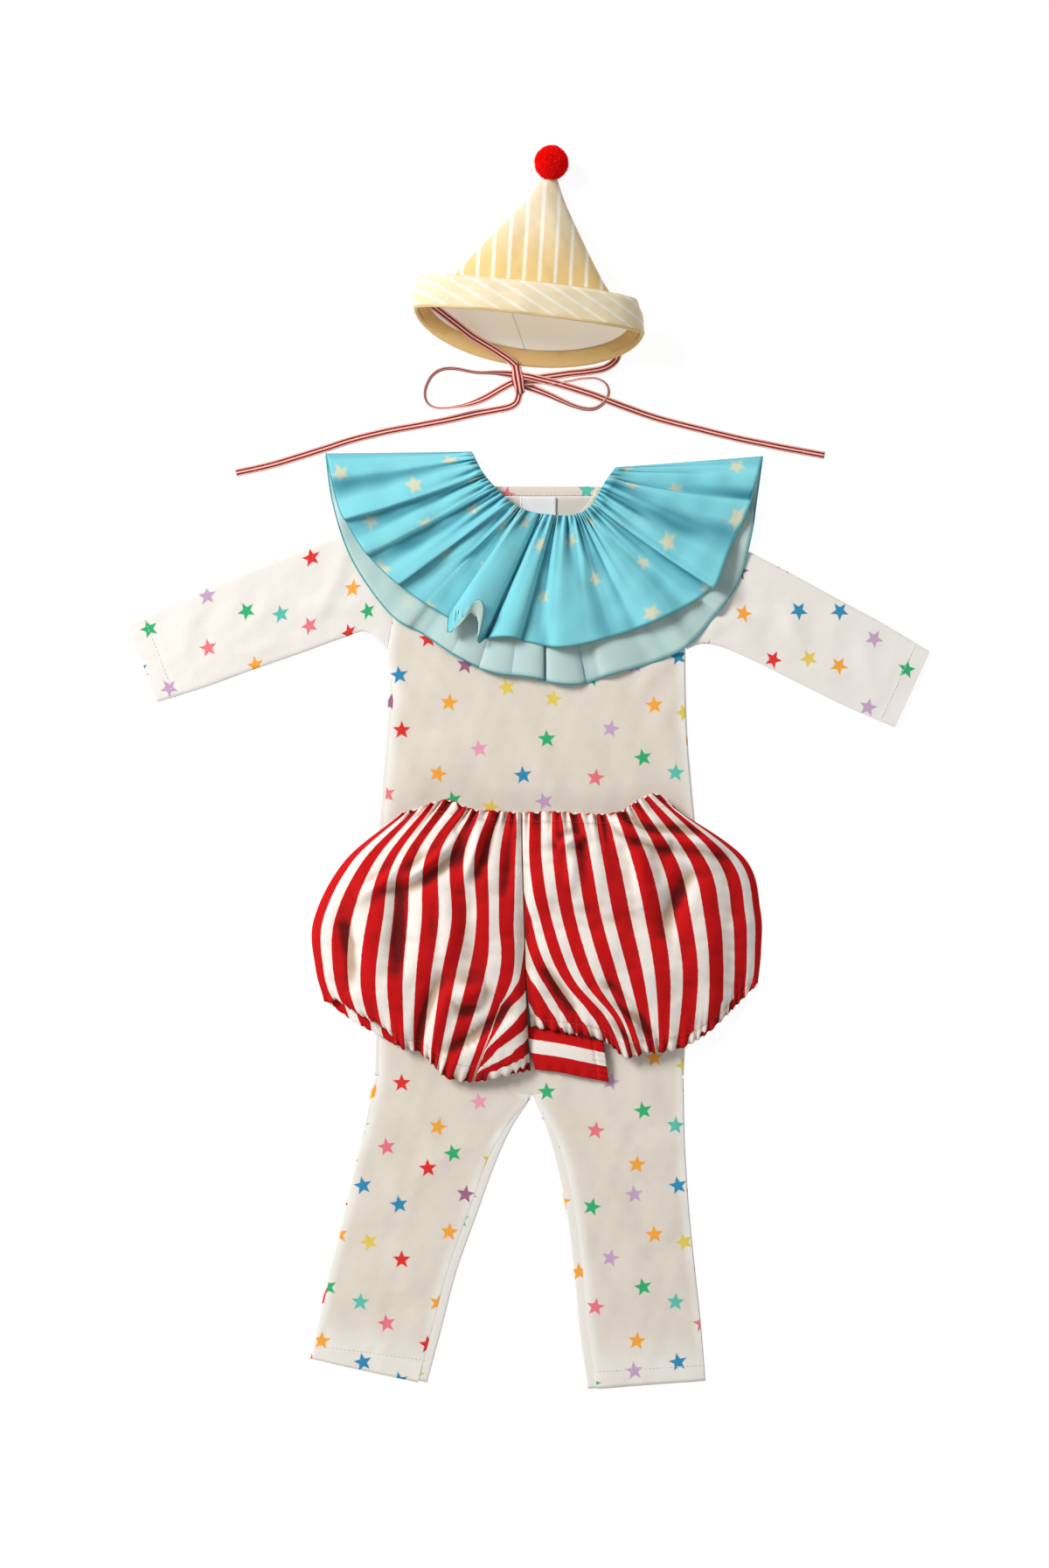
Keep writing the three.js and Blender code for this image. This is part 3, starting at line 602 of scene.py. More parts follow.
def liningCotton():
    cloth = Cloth("liningCotton", roughness=0.92, sheen=0.04, specular=0.08)
    spot = cloth.place()
    aside, upward, _ = cloth.split(spot)
    seam = 1 - (aside * 1000 + upward * 350 - 114.5).math("ABSOLUTE").step(0.25, 0.7)
    ground = cloth.mix(cloth.noise(spot, 20.0, 4.0), rgb(240, 230, 214), rgb(247, 239, 226))
    cloth.colour(cloth.mix(seam * 0.7, ground, rgb(178, 164, 146)))
    # painted light: the lining glows faintly and warm, standing in for light reaching into the hat
    cloth.shader.inputs["Emission Color"].default_value = (1.0, 0.93, 0.82, 1.0)
    cloth.shader.inputs["Emission Strength"].default_value = 0.15
    cloth.bump(cloth.weave(cloth.uv(), 0.0009), 0.4, 0.00016)
    return cloth.material


def pompomFibre():
    cloth = Cloth("pompomFibre", roughness=1.0, sheen=0.0, specular=0.0)
    spot = cloth.place()
    cloth.colour(cloth.mix(cloth.noise(spot, 420.0, 3.0), rgb(252, 4, 6), rgb(255, 46, 44)))
    cloth.bump(cloth.noise(spot, 900.0, 4.0), 0.6, 0.0006)
    return cloth.material


def ribbonWeave():
    # u runs across the ribbon in metres, v along it
    cloth = Cloth("ribbonWeave", roughness=0.7, sheen=0.0, specular=0.12)
    across, along, _ = cloth.split(cloth.uv())
    away = across.math("ABSOLUTE") * 1000
    dark = away.step(0.5, 0.65) * (1 - away.step(1.9, 2.05))
    edge = away.step(2.3, 2.5)
    base = cloth.mix(dark, rgb(255, 196, 184), rgb(128, 0, 12))
    base = cloth.mix(edge, base, rgb(240, 180, 168))
    rib = (along * 7500).math("SINE") * 0.5 + 0.5
    cloth.colour(cloth.mix(rib * 0.05, base, rgb(255, 232, 224)))
    cloth.bump(rib, 0.5, 0.00018)
    return cloth.material


def threadOf(name, shade, tint):
    cloth = Cloth(name, roughness=0.65, sheen=0.1, specular=0.3)
    _, along, _ = cloth.split(cloth.uv())
    twist = (along * 5200).math("SINE") * 0.5 + 0.5
    cloth.colour(cloth.mix(twist, shade, tint))
    cloth.bump(twist, 0.5, 0.0002)
    return cloth.material


cloths = {
    # the two star jerseys are one cloth in two painted lights: the paler copy is painted light, whiter for
    # the back and the sleeves; the other is the front's beige, painted shade
    "jersey": starJersey("starJersey", rgb(222, 213, 200), rgb(234, 226, 215)),
    "jerseyPaintedLit": starJersey("starJerseyPaintedLit", rgb(238, 235, 229), rgb(246, 243, 238)),
    "jerseyPlain": plainJersey(),
    "label": labelSatin(),
    # the last colour of each collar cloth is painted shade for its fold valleys
    "collarFace": collarCotton(
        "collarFace", rgb(112, 206, 220), rgb(140, 219, 230), rgb(236, 218, 168), rgb(0, 116, 140)
    ),
    "collarWrong": collarCotton(
        "collarWrong", rgb(176, 206, 204), rgb(198, 222, 220), rgb(200, 216, 204), rgb(104, 160, 166)
    ),
    "stripes": stripeCotton(),
    "hatCrown": hatCotton("hatCrownCotton", 0.384, rgb(234, 196, 120), 0.446, rgb(232, 217, 184)),
    "hatBrim": hatCotton("hatBrimCotton", 0.342, rgb(244, 212, 146), 0.362, rgb(242, 227, 192)),
    "lining": liningCotton(),
    "pompom": pompomFibre(),
    "ribbon": ribbonWeave(),
    "serger": threadOf("sergerThread", rgb(46, 140, 152), rgb(84, 180, 190)),
    "whiteThread": threadOf("whiteThread", rgb(222, 214, 206), rgb(244, 240, 234)),
    "redThread": threadOf("redThread", rgb(200, 60, 56), rgb(226, 96, 90)),
}
print("cloths mixed")

# stitches

def newTree(name, shape, numbers, material, result):
    # a node tree with its named inputs: a shape, some numbers and a material
    tree = bpy.data.node_groups.new(name, "GeometryNodeTree")
    tree.interface.new_socket(shape, in_out="INPUT", socket_type="NodeSocketGeometry")
    for label, value in numbers.items():
        socket = tree.interface.new_socket(label, in_out="INPUT", socket_type="NodeSocketFloat")
        socket.default_value = value
    tree.interface.new_socket(material, in_out="INPUT", socket_type="NodeSocketMaterial")
    tree.interface.new_socket(result, in_out="OUTPUT", socket_type="NodeSocketGeometry")
    return tree, tree.nodes.new("NodeGroupInput"), tree.nodes.new("NodeGroupOutput")


def endTree(tree, shape, material, leave):
    real = tree.nodes.new("GeometryNodeRealizeInstances")
    paint = tree.nodes.new("GeometryNodeSetMaterial")
    tree.links.new(shape, real.inputs[0])
    tree.links.new(real.outputs[0], paint.inputs[0])
    tree.links.new(material, paint.inputs["Material"])
    tree.links.new(paint.outputs[0], leave.inputs[0])
    return tree


def runTree(piece, label, tree, values):
    # grows what the tree makes on the piece, with its inputs set by name
    grown = piece.modifiers.new(label, "NODES")
    grown.node_group = tree
    for item in tree.interface.items_tree:
        if item.in_out == "INPUT" and item.name in values:
            grown[item.identifier] = values[item.name]
    return settle(piece)


def stitchTree():
    # lays one short stitch at each even step along a route, lying in the cloth
    numbers = {"Stitch Length": 0.002, "Gap": 0.001, "Thread Radius": 0.0002}
    tree, entry, leave = newTree("stitchRow", "Route", numbers, "Thread", "Stitches")
    nodes, links = tree.nodes, tree.links
    toCurve = nodes.new("GeometryNodeMeshToCurve")
    step = nodes.new("ShaderNodeMath")
    step.operation = "ADD"
    spread = nodes.new("GeometryNodeResampleCurve")
    spread.mode = "LENGTH"
    points = nodes.new("GeometryNodeCurveToPoints")
    points.mode = "EVALUATED"
    bar = nodes.new("GeometryNodeMeshCylinder")
    bar.inputs["Vertices"].default_value = 6
    bar.inputs["Side Segments"].default_value = 1
    place = nodes.new("GeometryNodeInstanceOnPoints")
    links.new(entry.outputs["Route"], toCurve.inputs[0])
    links.new(entry.outputs["Stitch Length"], step.inputs[0])
    links.new(entry.outputs["Gap"], step.inputs[1])
    links.new(toCurve.outputs[0], spread.inputs["Curve"])
    links.new(step.outputs[0], spread.inputs["Length"])
    links.new(spread.outputs[0], points.inputs["Curve"])
    links.new(entry.outputs["Stitch Length"], bar.inputs["Depth"])
    links.new(entry.outputs["Thread Radius"], bar.inputs["Radius"])
    links.new(points.outputs["Points"], place.inputs["Points"])
    links.new(bar.outputs["Mesh"], place.inputs["Instance"])
    links.new(points.outputs["Rotation"], place.inputs["Rotation"])
    return endTree(tree, place.outputs[0], entry.outputs["Thread"], leave)


stitchRow = stitchTree()


def sew(name, routes, thread, length, gap, radius):
    # routes are lists of points in millimetres; the result is one mesh of all their stitches
    points, edges = [], []
    for route in routes:
        first = len(points)
        points += [tuple(np.asarray(point) * mm) for point in route]
        edges += [(first + i, first + i + 1) for i in range(len(route) - 1)]
    mesh = bpy.data.meshes.new(name)
    mesh.from_pydata(points, edges, [])
    piece = bpy.data.objects.new(name, mesh)
    bpy.context.scene.collection.objects.link(piece)
    values = {"Stitch Length": length * mm, "Gap": gap * mm, "Thread Radius": radius * mm, "Thread": thread}
    runTree(piece, "stitches", stitchRow, values)
    for polygon in piece.data.polygons:
        polygon.use_smooth = True
    return piece


# the ribbon ties: routes given as x, y and the height of the ribbon's middle in millimetres
ribbon = {"wide": 6.0, "thick": 0.5, "threads": 9, "steps": 170, "cup": 0.25, "lowest": 0.5}
routes = {
    "tieLeft": [
        [-76, 364.6, 32], [-71, 361.4, 29], [-65, 357.4, 25], [-55, 350.6, 18.5], [-44.8, 343.4, 13.4],
        [-36, 338.4, 10.6], [-27.3, 333.4, 9], [-20.5, 329, 8], [-14.8, 325.2, 7.4], [-10, 321, 6.6],
    ],
    "tieRight": [
        [71.2, 341.5, 9], [72.6, 336.5, 7.6], [72, 330, 5.6], [68.8, 324, 4.6], [60.2, 318.7, 4.3],
        [46.2, 316, 4.3], [35, 314.9, 4.3], [25.2, 313.6, 4.5], [12, 311.8, 4.8], [0.6, 310.5, 5],
        [-5, 310, 5],
    ],
    "bowLoopLeft": [
        [-9.5, 308.8, 3.6], [-15.2, 306.4, 3.2], [-23.8, 301.7, 2.6], [-34.3, 295.6, 2.2],
        [-46, 290.7, 2], [-58.8, 288, 2], [-71, 287.2, 2], [-78.8, 289.8, 2.2], [-82.2, 296.1, 2.6],
        [-81.2, 304.5, 3], [-76.3, 313.2, 3.2], [-68.5, 318, 3.2], [-58, 318.6, 3.2],
        [-41.3, 315.6, 3.2], [-27.3, 315.4, 3.2], [-15, 314.4, 3.6], [-9.6, 313.6, 3.8],
    ],
    "bowLoopRight": [
        [-4.8, 306.8, 2.4], [0.2, 304.4, 1.8], [14.7, 299, 1.4], [25.2, 294.3, 1.2], [35.7, 289.7, 1.2],
        [45.5, 286.9, 1.2], [54, 287.2, 1.2], [61.4, 292.4, 1.2], [64.6, 300, 1.2], [62, 307, 1.4],
        [54, 311, 1.6], [43, 310.7, 1.6], [32, 308.6, 1.6], [18, 306.9, 1.8], [2.5, 307.6, 2.2],
        [-4.6, 308.4, 2.8],
    ],
    "tailLeft": [
        [-7, 302, 3.4], [-7.5, 297, 2.2], [-9.5, 292, 1.2], [-15, 288.6, 0.8], [-27.3, 286, 0.7],
        [-41.3, 283.4, 0.7], [-58.8, 279.4, 0.7], [-72.8, 276.6, 0.7], [-90, 273.4, 0.7],
        [-107.8, 270.2, 0.7], [-125, 266.4, 0.7], [-142.8, 261.8, 0.7], [-160, 256.2, 0.7],
        [-177.8, 250.6, 0.7], [-205.8, 242.2, 0.7], [-233.8, 235.9, 0.7],
    ],
    "tailRight": [
        [-4.6, 312.8, 8], [1.8, 311.6, 8], [11.2, 309.4, 7], [25.2, 305.9, 6.4], [39.2, 301.7, 6],
        [53.2, 297.2, 5.4], [67.2, 291.9, 4.2], [81.2, 287, 2.2], [91, 283.6, 1.2], [102.2, 280, 0.8],
        [119, 275.4, 0.7], [137.2, 270.9, 0.7], [154.5, 266.6, 0.7], [172.2, 262.5, 0.7],
        [189.5, 259, 0.7], [207.2, 255.5, 0.7], [237.3, 249.9, 0.7],
    ],
}
# turn is the ribbon's tilt about its own line in degrees, at shares of its length; 90 stands it on edge
ribbonTable = {
    "tieLeft": {"node": "tie_left", "end": "knot", "turn": [(0, 20), (0.5, 8), (1, 0)]},
    "tieRight": {"node": "tie_right", "end": "knot", "turn": [(0, -15), (0.4, 12), (1, 0)]},
    "bowLoopLeft": {
        "node": "bow_loop_left", "end": "knot",
        "turn": [(0, 0), (0.18, 8), (0.3, 68), (0.88, 74), (0.96, 40), (1, 0)],
    },
    "bowLoopRight": {
        "node": "bow_loop_right", "end": "knot",
        "turn": [(0, 10), (0.14, 36), (0.3, 64), (0.92, 72), (1, 20)],
    },
    "tailLeft": {"node": "tail_left", "end": "bare", "turn": [(0, 0), (1, 0)]},
    "tailRight": {"node": "tail_right", "end": "bare", "turn": [(0, 0), (0.35, 14), (0.5, 0), (1, 0)]},
}


def ribbonStrip(name):
    # one stretch of ribbon; it returns the routes of the stitches across its free end
    row = ribbonTable[name]
    path = curveThrough(routes[name], ribbon["steps"])
    ahead = unit(np.gradient(path, axis=0))
    side = unit(np.stack([-ahead[:, 1], ahead[:, 0], np.zeros(len(path))], axis=1))
    up = np.cross(ahead, side)
    up *= np.where(up[:, 2:] < 0, -1, 1)
    share = np.linspace(0, 1, len(path))
    tilt = np.radians(np.interp(share, *zip(*row["turn"])))
    tilt = np.convolve(np.pad(tilt, 9, mode="edge"), np.ones(19) / 19, mode="valid")
    half = ribbon["wide"] / 2
    width = np.linspace(-0.5, 0.5, ribbon["threads"]) * ribbon["wide"]
    direction = side * np.cos(tilt)[:, None] + up * np.sin(tilt)[:, None]
    normal = up * np.cos(tilt)[:, None] - side * np.sin(tilt)[:, None]
    cupping = ribbon["cup"] * (1 - (width / half) ** 2)
    points = path[:, None, :] + direction[:, None, :] * width[None, :, None]
    points = points + normal[:, None, :] * cupping[None, :, None]
    stand = half * np.abs(np.sin(tilt))[:, None]
    points[..., 2] += (stand * 0.9 + 0.35) * smooth(0, 0.5, stand)
    points[..., 2] = np.maximum(points[..., 2], ribbon["lowest"])
    run = runAlong(path)
    faces = gridFaces(len(path), ribbon["threads"])
    if np.cross(ahead[0], side[0])[2] > 0:
        faces = faces[:, ::-1]
    piece = makeMesh(name, points, faces, uv=together(width[None, :], run[:, None]) * mm)
    dress(piece, cloths["ribbon"])
    thicken(piece, ribbon["thick"], offset=0.0)
    wear(piece, "red_ribbon", row["node"])
    middle = points[:, ribbon["threads"] // 2]
    tuple(middle[0] * mm)
    [tuple(point * mm) for point in middle[::6]] + [tuple(middle[-1] * mm)]
    return [points[-12, 1:-1] + [0, 0, 0.45]] if row["end"] == "bare" else []


knot = {
    "x": -8, "y": 310.3, "z": 5, "halfLength": 11.6, "halfHeight": 4.3, "halfWrap": 3.9, "lean": 0.16,
    "girth": 8.2, "wall": 0.6, "coreX": 5.2, "coreY": 7.6, "coreZ": 3.1,
}


def bowKnot():
    # one turn of ribbon wrapped over the crossing, round a small bunched core
    turn = np.linspace(0, 2 * np.pi, 96, endpoint=False)[:, None]
    across = np.linspace(-1, 1, 13)[None, :]
    hug = 1 - 0.13 * np.abs(across) ** 3
    y = knot["halfLength"] * np.cos(turn) * hug
    z = knot["z"] + (knot["halfHeight"] * np.sin(turn)) * hug
    x = knot["x"] + across * knot["halfWrap"] - knot["lean"] * y + 0.25 * np.sin(turn * 5) * across
    points = together(x, knot["y"] + y, z)
    uv = together(across * 3.0, turn * knot["girth"]) * mm
    wrap = makeMesh("bowKnot", points, gridFaces(96, 13, loop=True), uv=uv)
    dress(wrap, cloths["ribbon"])
    thicken(wrap, knot["wall"], offset=0.0)
    tilt = np.linspace(0.05, np.pi - 0.05, 24)[:, None]
    spin = np.linspace(0, 2 * np.pi, 40, endpoint=False)[None, :]
    ribs = 1 + 0.05 * np.cos(spin * 7)
    core = together(
        knot["x"] + knot["coreX"] * np.cos(tilt),
        knot["y"] + knot["coreY"] * np.sin(tilt) * np.cos(spin) * ribs,
        knot["z"] + knot["coreZ"] * np.sin(tilt) * np.sin(spin) * ribs,
    )
    uv = together(1.3 + 0.5 * np.cos(spin * 3), tilt * 3) * mm
    bunch = makeMesh("knotCore", core, gridFaces(24, 40, wrap=True), uv=uv)
    dress(bunch, cloths["ribbon"])
    return joinPieces("bowKnot", [wrap, bunch])


ribbonEnds = []
for name in ribbonTable:
    ribbonEnds += ribbonStrip(name)
wear(bowKnot(), "red_ribbon", "bow_knot")
wear(sew("ribbonStitches", ribbonEnds, cloths["whiteThread"], 1.0, 0.5, 0.16), "red_ribbon")
print("ribbons tied")

# the romper, laid flat: outlines for each level of the body and each section of the legs and sleeves
romper = {
    "wall": 0.7, "edge": 1.45, "overSeam": 0.35, "sideInset": 4.6, "inseamInset": 8.0, "loft": 0.55,
    "hem": 14.0,
    "neckFirst": 4 / 12, "neckLast": 9 / 12, "neckDrop": 35.0, "binding": 8.4, "neckY": 225.4,
    "tipLeft": -93.3, "tipRight": 105.2, "tipY": 207.5, "underLeft": -112.2, "underRight": 126.4,
    "underY": 94.0, "legY": -248, "dipFrom": -215, "crotchX": 3.1, "crotchY": -264.6,
}
bodyLevels = rowsOf("y left right", [
    (93, -112, 126), (55, -112, 126.5), (20, -114.8, 128), (-15, -117.5, 131), (-60, -120.5, 134.5),
    (-120, -122, 132), (-180, -122.5, 128), (-248, -123.2, 124.6),
])
leftLeg = rowsOf("outerX outerY innerX innerY", [
    (-123.2, -248, 2.1, -264.6),
    (-130.9, -283.5, -13.3, -288.4),
    (-139.3, -319.9, -26.6, -317.8),
    (-149.1, -361.9, -41.3, -358.4),
    (-160.3, -407.4, -57.4, -403.9),
    (-168.7, -445.9, -69.3, -449.4),
    (-174.3, -472.5, -80.5, -491.4),
])
rightLeg = rowsOf("outerX outerY innerX innerY", [
    (124.6, -248, 4.2, -264.6),
    (125.3, -288.4, 14.7, -289.8),
    (126.7, -319.9, 23.1, -319.9),
    (129.5, -358.4, 30.8, -358.4),
    (133.7, -400.4, 36.4, -403.9),
    (138.6, -445.9, 40.6, -449.4),
    (142.1, -490, 47.6, -496.5),
])
leftSleeve = rowsOf("topX topY underX underY", [
    (-321.3, 116.2, -296.1, 52.5),
    (-282.8, 132.3, -258.3, 64.4),
    (-240.8, 150.5, -219.8, 78.4),
    (-198.8, 168, -181.3, 91.7),
    (-160.3, 182.7, -148.4, 103.6),
    (-132.3, 193.2, -129.4, 108.5),
    (-93.8, 208.6, -112.7, 94.5),
])
rightSleeve = rowsOf("topX topY underX underY", [
    (321.3, 93.1, 293.3, 32.2),
    (284.2, 115.5, 252.7, 49.7),
    (249.2, 134.4, 215.6, 67.9),
    (210.7, 155.4, 180.6, 85.4),
    (177.1, 172.9, 154.7, 96.6),
    (151.2, 184.8, 139.3, 99),
    (105.7, 208.6, 126.9, 94.5),
])
romperCreases = rowsOf("x0 y0 x1 y1 width height bend", [
    (-108, 96, -62, 58, 5, 0.7, 4),
    (-110, 84, -78, 34, 5, 0.5, -3),
    (122, 92, 84, 52, 6, 0.7, -4),
    (124, 78, 96, 22, 5, 0.5, 3),
    (-96, 12, -34, 22, 8, 0.45, 5),
    (40, 60, 60, -10, 9, 0.4, 5),
    (-118, -268, -70, -300, 7, 0.8, 5),
    (-44, -300, -96, -338, 8, 0.8, -6),
    (-136, -350, -88, -372, 7, 0.6, 4),
    (-70, -398, -126, -424, 8, 0.6, 5),
    (118, -270, 66, -296, 8, 0.8, -5),
    (30, -322, 84, -352, 8, 0.7, 5),
    (124, -366, 78, -398, 7, 0.6, -5),
    (46, -424, 96, -446, 8, 0.5, 4),
])


def jerseyLift(x, y, calm):
    swell = 0.5 * ripples(x, y, 42, 11) + 0.16 * ripples(x, y, 13, 12)
    return (creases(x, y, romperCreases) + swell) * calm


def shoulderTop(share, drop):
    # the upper edge of a body panel, across it from 0 to 1; drop is how far the neck dips
    first, last = romper["neckFirst"], romper["neckLast"]
    slope = romper["neckY"] - romper["tipY"]
    edge = np.minimum(share / first, (1 - share) / (1 - last))
    top = romper["tipY"] + slope * np.clip(edge, 0, 1)
    inNeck = (share >= first - 1e-6) & (share <= last + 1e-6)
    along = np.clip((share - first) / (last - first), 0, 1)
    dip = np.sin(np.pi * along) ** 0.75
    return top - np.where(inNeck, drop * dip + romper["binding"] + 0.4, 0)


def jerseyRegions():
    # left and right ends of every row, for the body and for each leg, with how far each seam sits in
    yoke = np.linspace(0, 1, 40)[:, None]
    y = np.arange(bodyLevels[0]["y"], romper["legY"] - 0.1, -3.0)[:, None]
    rise = -column(bodyLevels, "y")
    left = splineRow(rise, column(bodyLevels, "left"), -y[:, 0])[:, None]
    right = splineRow(rise, column(bodyLevels, "right"), -y[:, 0])[:, None]
    deep = np.clip((romper["dipFrom"] - y) / (romper["dipFrom"] - romper["legY"]), 0, 1)
    armLeft = romper["tipLeft"] + (romper["underLeft"] - romper["tipLeft"]) * yoke[:-1]
    armRight = romper["tipRight"] + (romper["underRight"] - romper["tipRight"]) * yoke[:-1]
    body = {
        "left": np.concatenate([armLeft, left]), "right": np.concatenate([armRight, right]),
        "y": y, "yoke": yoke[:-1], "deep": deep,
        "inset": np.concatenate([np.zeros_like(yoke[:-1]), romper["sideInset"] * smooth(93, 55, y)]),
    }
    legs = []
    for table, side in ((leftLeg, 1), (rightLeg, -1)):
        run = np.linspace(0, len(table) - 1, 84)
        ends = sectionsAt(table, run)
        inner = romper["inseamInset"] * smooth(-0.8, 2, run)[:, None]
        settled = 2.0 if side > 0 else 1.2
        outer = settled + (romper["sideInset"] - settled) * (1 - smooth(0, 1.6, run)[:, None]) * (side > 0)
        near, far = ("outer", "inner") if side > 0 else ("inner", "outer")
        legs.append({
            "xa": ends[near + "X"], "ya": ends[near + "Y"], "xb": ends[far + "X"], "yb": ends[far + "Y"],
            "insetA": outer if side > 0 else inner, "insetB": inner if side > 0 else outer, "side": side,
        })
    return body, legs


def bodyPlan(body, share, insetA, insetB, drop):
    # plan place of every point of the body's grid, from its rows and the share across
    xa, xb = body["left"] + insetA, body["right"] - insetB
    x = xa + (xb - xa) * share
    top = shoulderTop(share[0] if share.ndim > 1 else share, drop)
    upper = top + (romper["underY"] - top) * body["yoke"]
    lower = body["y"] + np.zeros_like(share)
    middle = 1 - np.abs(2 * share - 1)
    lower = lower + body["deep"] * (romper["crotchY"] - romper["legY"]) * middle
    x[len(upper):] += body["deep"] * middle * (romper["crotchX"] - (xa + xb)[len(upper):] / 2)
    return x, np.concatenate([upper, lower])


def frontPanel():
    body, legs = jerseyRegions()
    gap, edge = -romper["overSeam"], romper["edge"]
    grids = []
    # columns crowd together at the seams, so that the edges stay crisp
    share = np.concatenate([[0, 0.0012, 0.005], np.linspace(0.012, 0.988, 79), [0.995, 0.9988, 1]])[None, :]
    x, y = bodyPlan(body, share, body["inset"] + gap, 1.2, romper["neckDrop"])
    grids.append((x, y, np.minimum(share, 1 - share) * (body["right"] - body["left"]), None))
    share = np.concatenate([[0, 0.0024, 0.01], np.linspace(0.024, 0.976, 37), [0.99, 0.9976, 1]])[None, :]
    for leg in legs:
        xa, xb = leg["xa"] + leg["insetA"] + gap, leg["xb"] - leg["insetB"] - gap
        x, y = xa + (xb - xa) * share, leg["ya"] + (leg["yb"] - leg["ya"]) * share
        hemX, hemY = x[-1], y[-1]
        grids.append((x, y, np.minimum(share, 1 - share) * (xb - xa), np.hypot(x - hemX, y - hemY)))
    points, faces, hems, pale = [], [], [], []
    waistX, waistY, waistZ = None, None, None
    for index, (x, y, side, fromHem) in enumerate(grids):
        if index:  # a leg starts on its half of the body's last row
            half = slice(0, len(waistX) // 2 + 1) if index == 1 else slice(len(waistX) // 2, None)
            x[0], y[0] = waistX[half], waistY[half]
        # calmer where the bloomers and the collar lie on it
        covered = smooth(-18, -48, y) * smooth(-248, -222, y) + smooth(120, 150, y)
        z = 2 * edge + 0.25 + romper["loft"] * (1 - np.exp(-side / 9)) - 0.15 * bell(side, 1.1)
        z = z + jerseyLift(x, y, (1 - 0.6 * np.clip(covered, 0, 1)) * (1 - np.exp(-side / 6)))
        if fromHem is not None:
            z = z + 0.35 * smooth(romper["hem"] + 0.8, romper["hem"] - 0.8, fromHem)
            z = z - 0.25 * bell(fromHem - romper["hem"], 1.0)
            z = z + 0.14 * np.sin(x * 1.3) * bell(fromHem - romper["hem"], 5)
            near = smooth(0, 30, fromHem[0].mean() - fromHem)
            z = z * near + waistZ[half][None, :] * (1 - near)
            row = int(np.argmin(np.abs(fromHem.mean(axis=1) - romper["hem"])))
            hems.append(np.stack([x[row], y[row], z[row] + 0.12], axis=1)[1:-1])
        if index == 0:
            waistX, waistY, waistZ = x[-1].copy(), y[-1].copy(), z[-1].copy()
        toHem = 999 + 0 * x if fromHem is None else fromHem
        # painted highlight: the rest map rises towards the side seams and the leg hems, where the cloth is
        # painted paler
        pale.append(np.maximum(smooth(9, 1, side), 0.8 * smooth(46, 12, toHem)).ravel())
        start = sum(len(block) for block in points)
        points.append(np.stack([x, y, z], axis=-1).reshape(-1, 3))
        faces.append(gridFaces(*x.shape) + start)
    points = np.concatenate(points)
    pale = np.concatenate(pale)
    layers = {"rest": together(pale, 0 * pale)}
    piece = makeMesh("romperFront", points, np.concatenate(faces), uv=points[:, :2] * mm, layers=layers)
    printStars(piece.data, points[:, :2], starChart, starPrint)
    weld(piece)
    dress(piece, cloths["jersey"], cloths["jerseyPlain"])
    return thicken(piece, romper["wall"], backSlot=1), hems


def backPanel():
    # the outer face lies on the table and rolls up round the edges to the seams
    body, legs = jerseyRegions()
    edge = romper["edge"]
    roll = np.linspace(np.pi / 2, -np.pi / 2, 8)

    def row(xa, xb, ya, yb, insetA, insetB, count):
        flat = np.linspace(0, 1, count)[None, :]
        span = np.maximum(xb - xa, 1)
        leftX = xa + edge - edge * np.cos(roll)[None, :]
        rightX = xb - edge + edge * np.cos(roll)[None, ::-1]
        endA, endB = np.maximum(insetA, edge + 0.3), np.maximum(insetB, edge + 0.3)
        columns = [xa + endA, xa + endA - 0.15, leftX, xa + edge + (span - 2 * edge) * flat[:, 1:-1], rightX]
        columns += [xb - endB + 0.15, xb - endB]
        x = np.concatenate([np.broadcast_to(c, (len(xa), c.shape[1])) for c in columns], axis=1)
        rollZ = edge + edge * np.sin(roll)
        top = [2 * edge, 2 * edge]
        z = np.concatenate([top, rollZ, np.zeros(count - 2), rollZ[::-1], top])
        z = np.broadcast_to(z, x.shape)
        share = (x - xa) / span
        return x, ya + (yb - ya) * share, z, share

    count = 50
    grids = []
    rows = len(body["left"])
    zero = np.zeros((rows, 1))
    x, _, z, share = row(body["left"], body["right"], zero, zero, body["inset"], zero + 1.2, count)
    yoke = len(body["yoke"])
    top = shoulderTop(np.clip(share[:yoke], 0, 1), 0)
    upper = top + (romper["underY"] - top) * body["yoke"]
    middle = 1 - np.abs(2 * np.clip(share[yoke:], 0, 1) - 1)
    lower = body["y"] + body["deep"] * (romper["crotchY"] - romper["legY"]) * middle
    grids.append((x, np.concatenate([upper, lower]), z))
    for leg in legs:
        x, y, z, _ = row(leg["xa"], leg["xb"], leg["ya"], leg["yb"], leg["insetA"], leg["insetB"], 34)
        grids.append((x, y, z))
    points, faces = [], []
    for x, y, z in grids:
        start = sum(len(block) for block in points)
        points.append(np.stack([x, y, z], axis=-1).reshape(-1, 3))
        faces.append(gridFaces(*x.shape)[:, ::-1] + start)
    points = np.concatenate(points)
    layers = {"rest": points[:, :2] * 0}
    piece = makeMesh("romperBack", points, np.concatenate(faces), uv=points[:, :2] * mm, layers=layers)
    printStars(piece.data, points[:, :2] + [60, 30], starChart, starPrint)
    # the back wears the paler star jersey, a painted lit copy of the front's cloth
    dress(piece, cloths["jerseyPaintedLit"], cloths["jerseyPlain"])
    return thicken(piece, romper["wall"], backSlot=1)


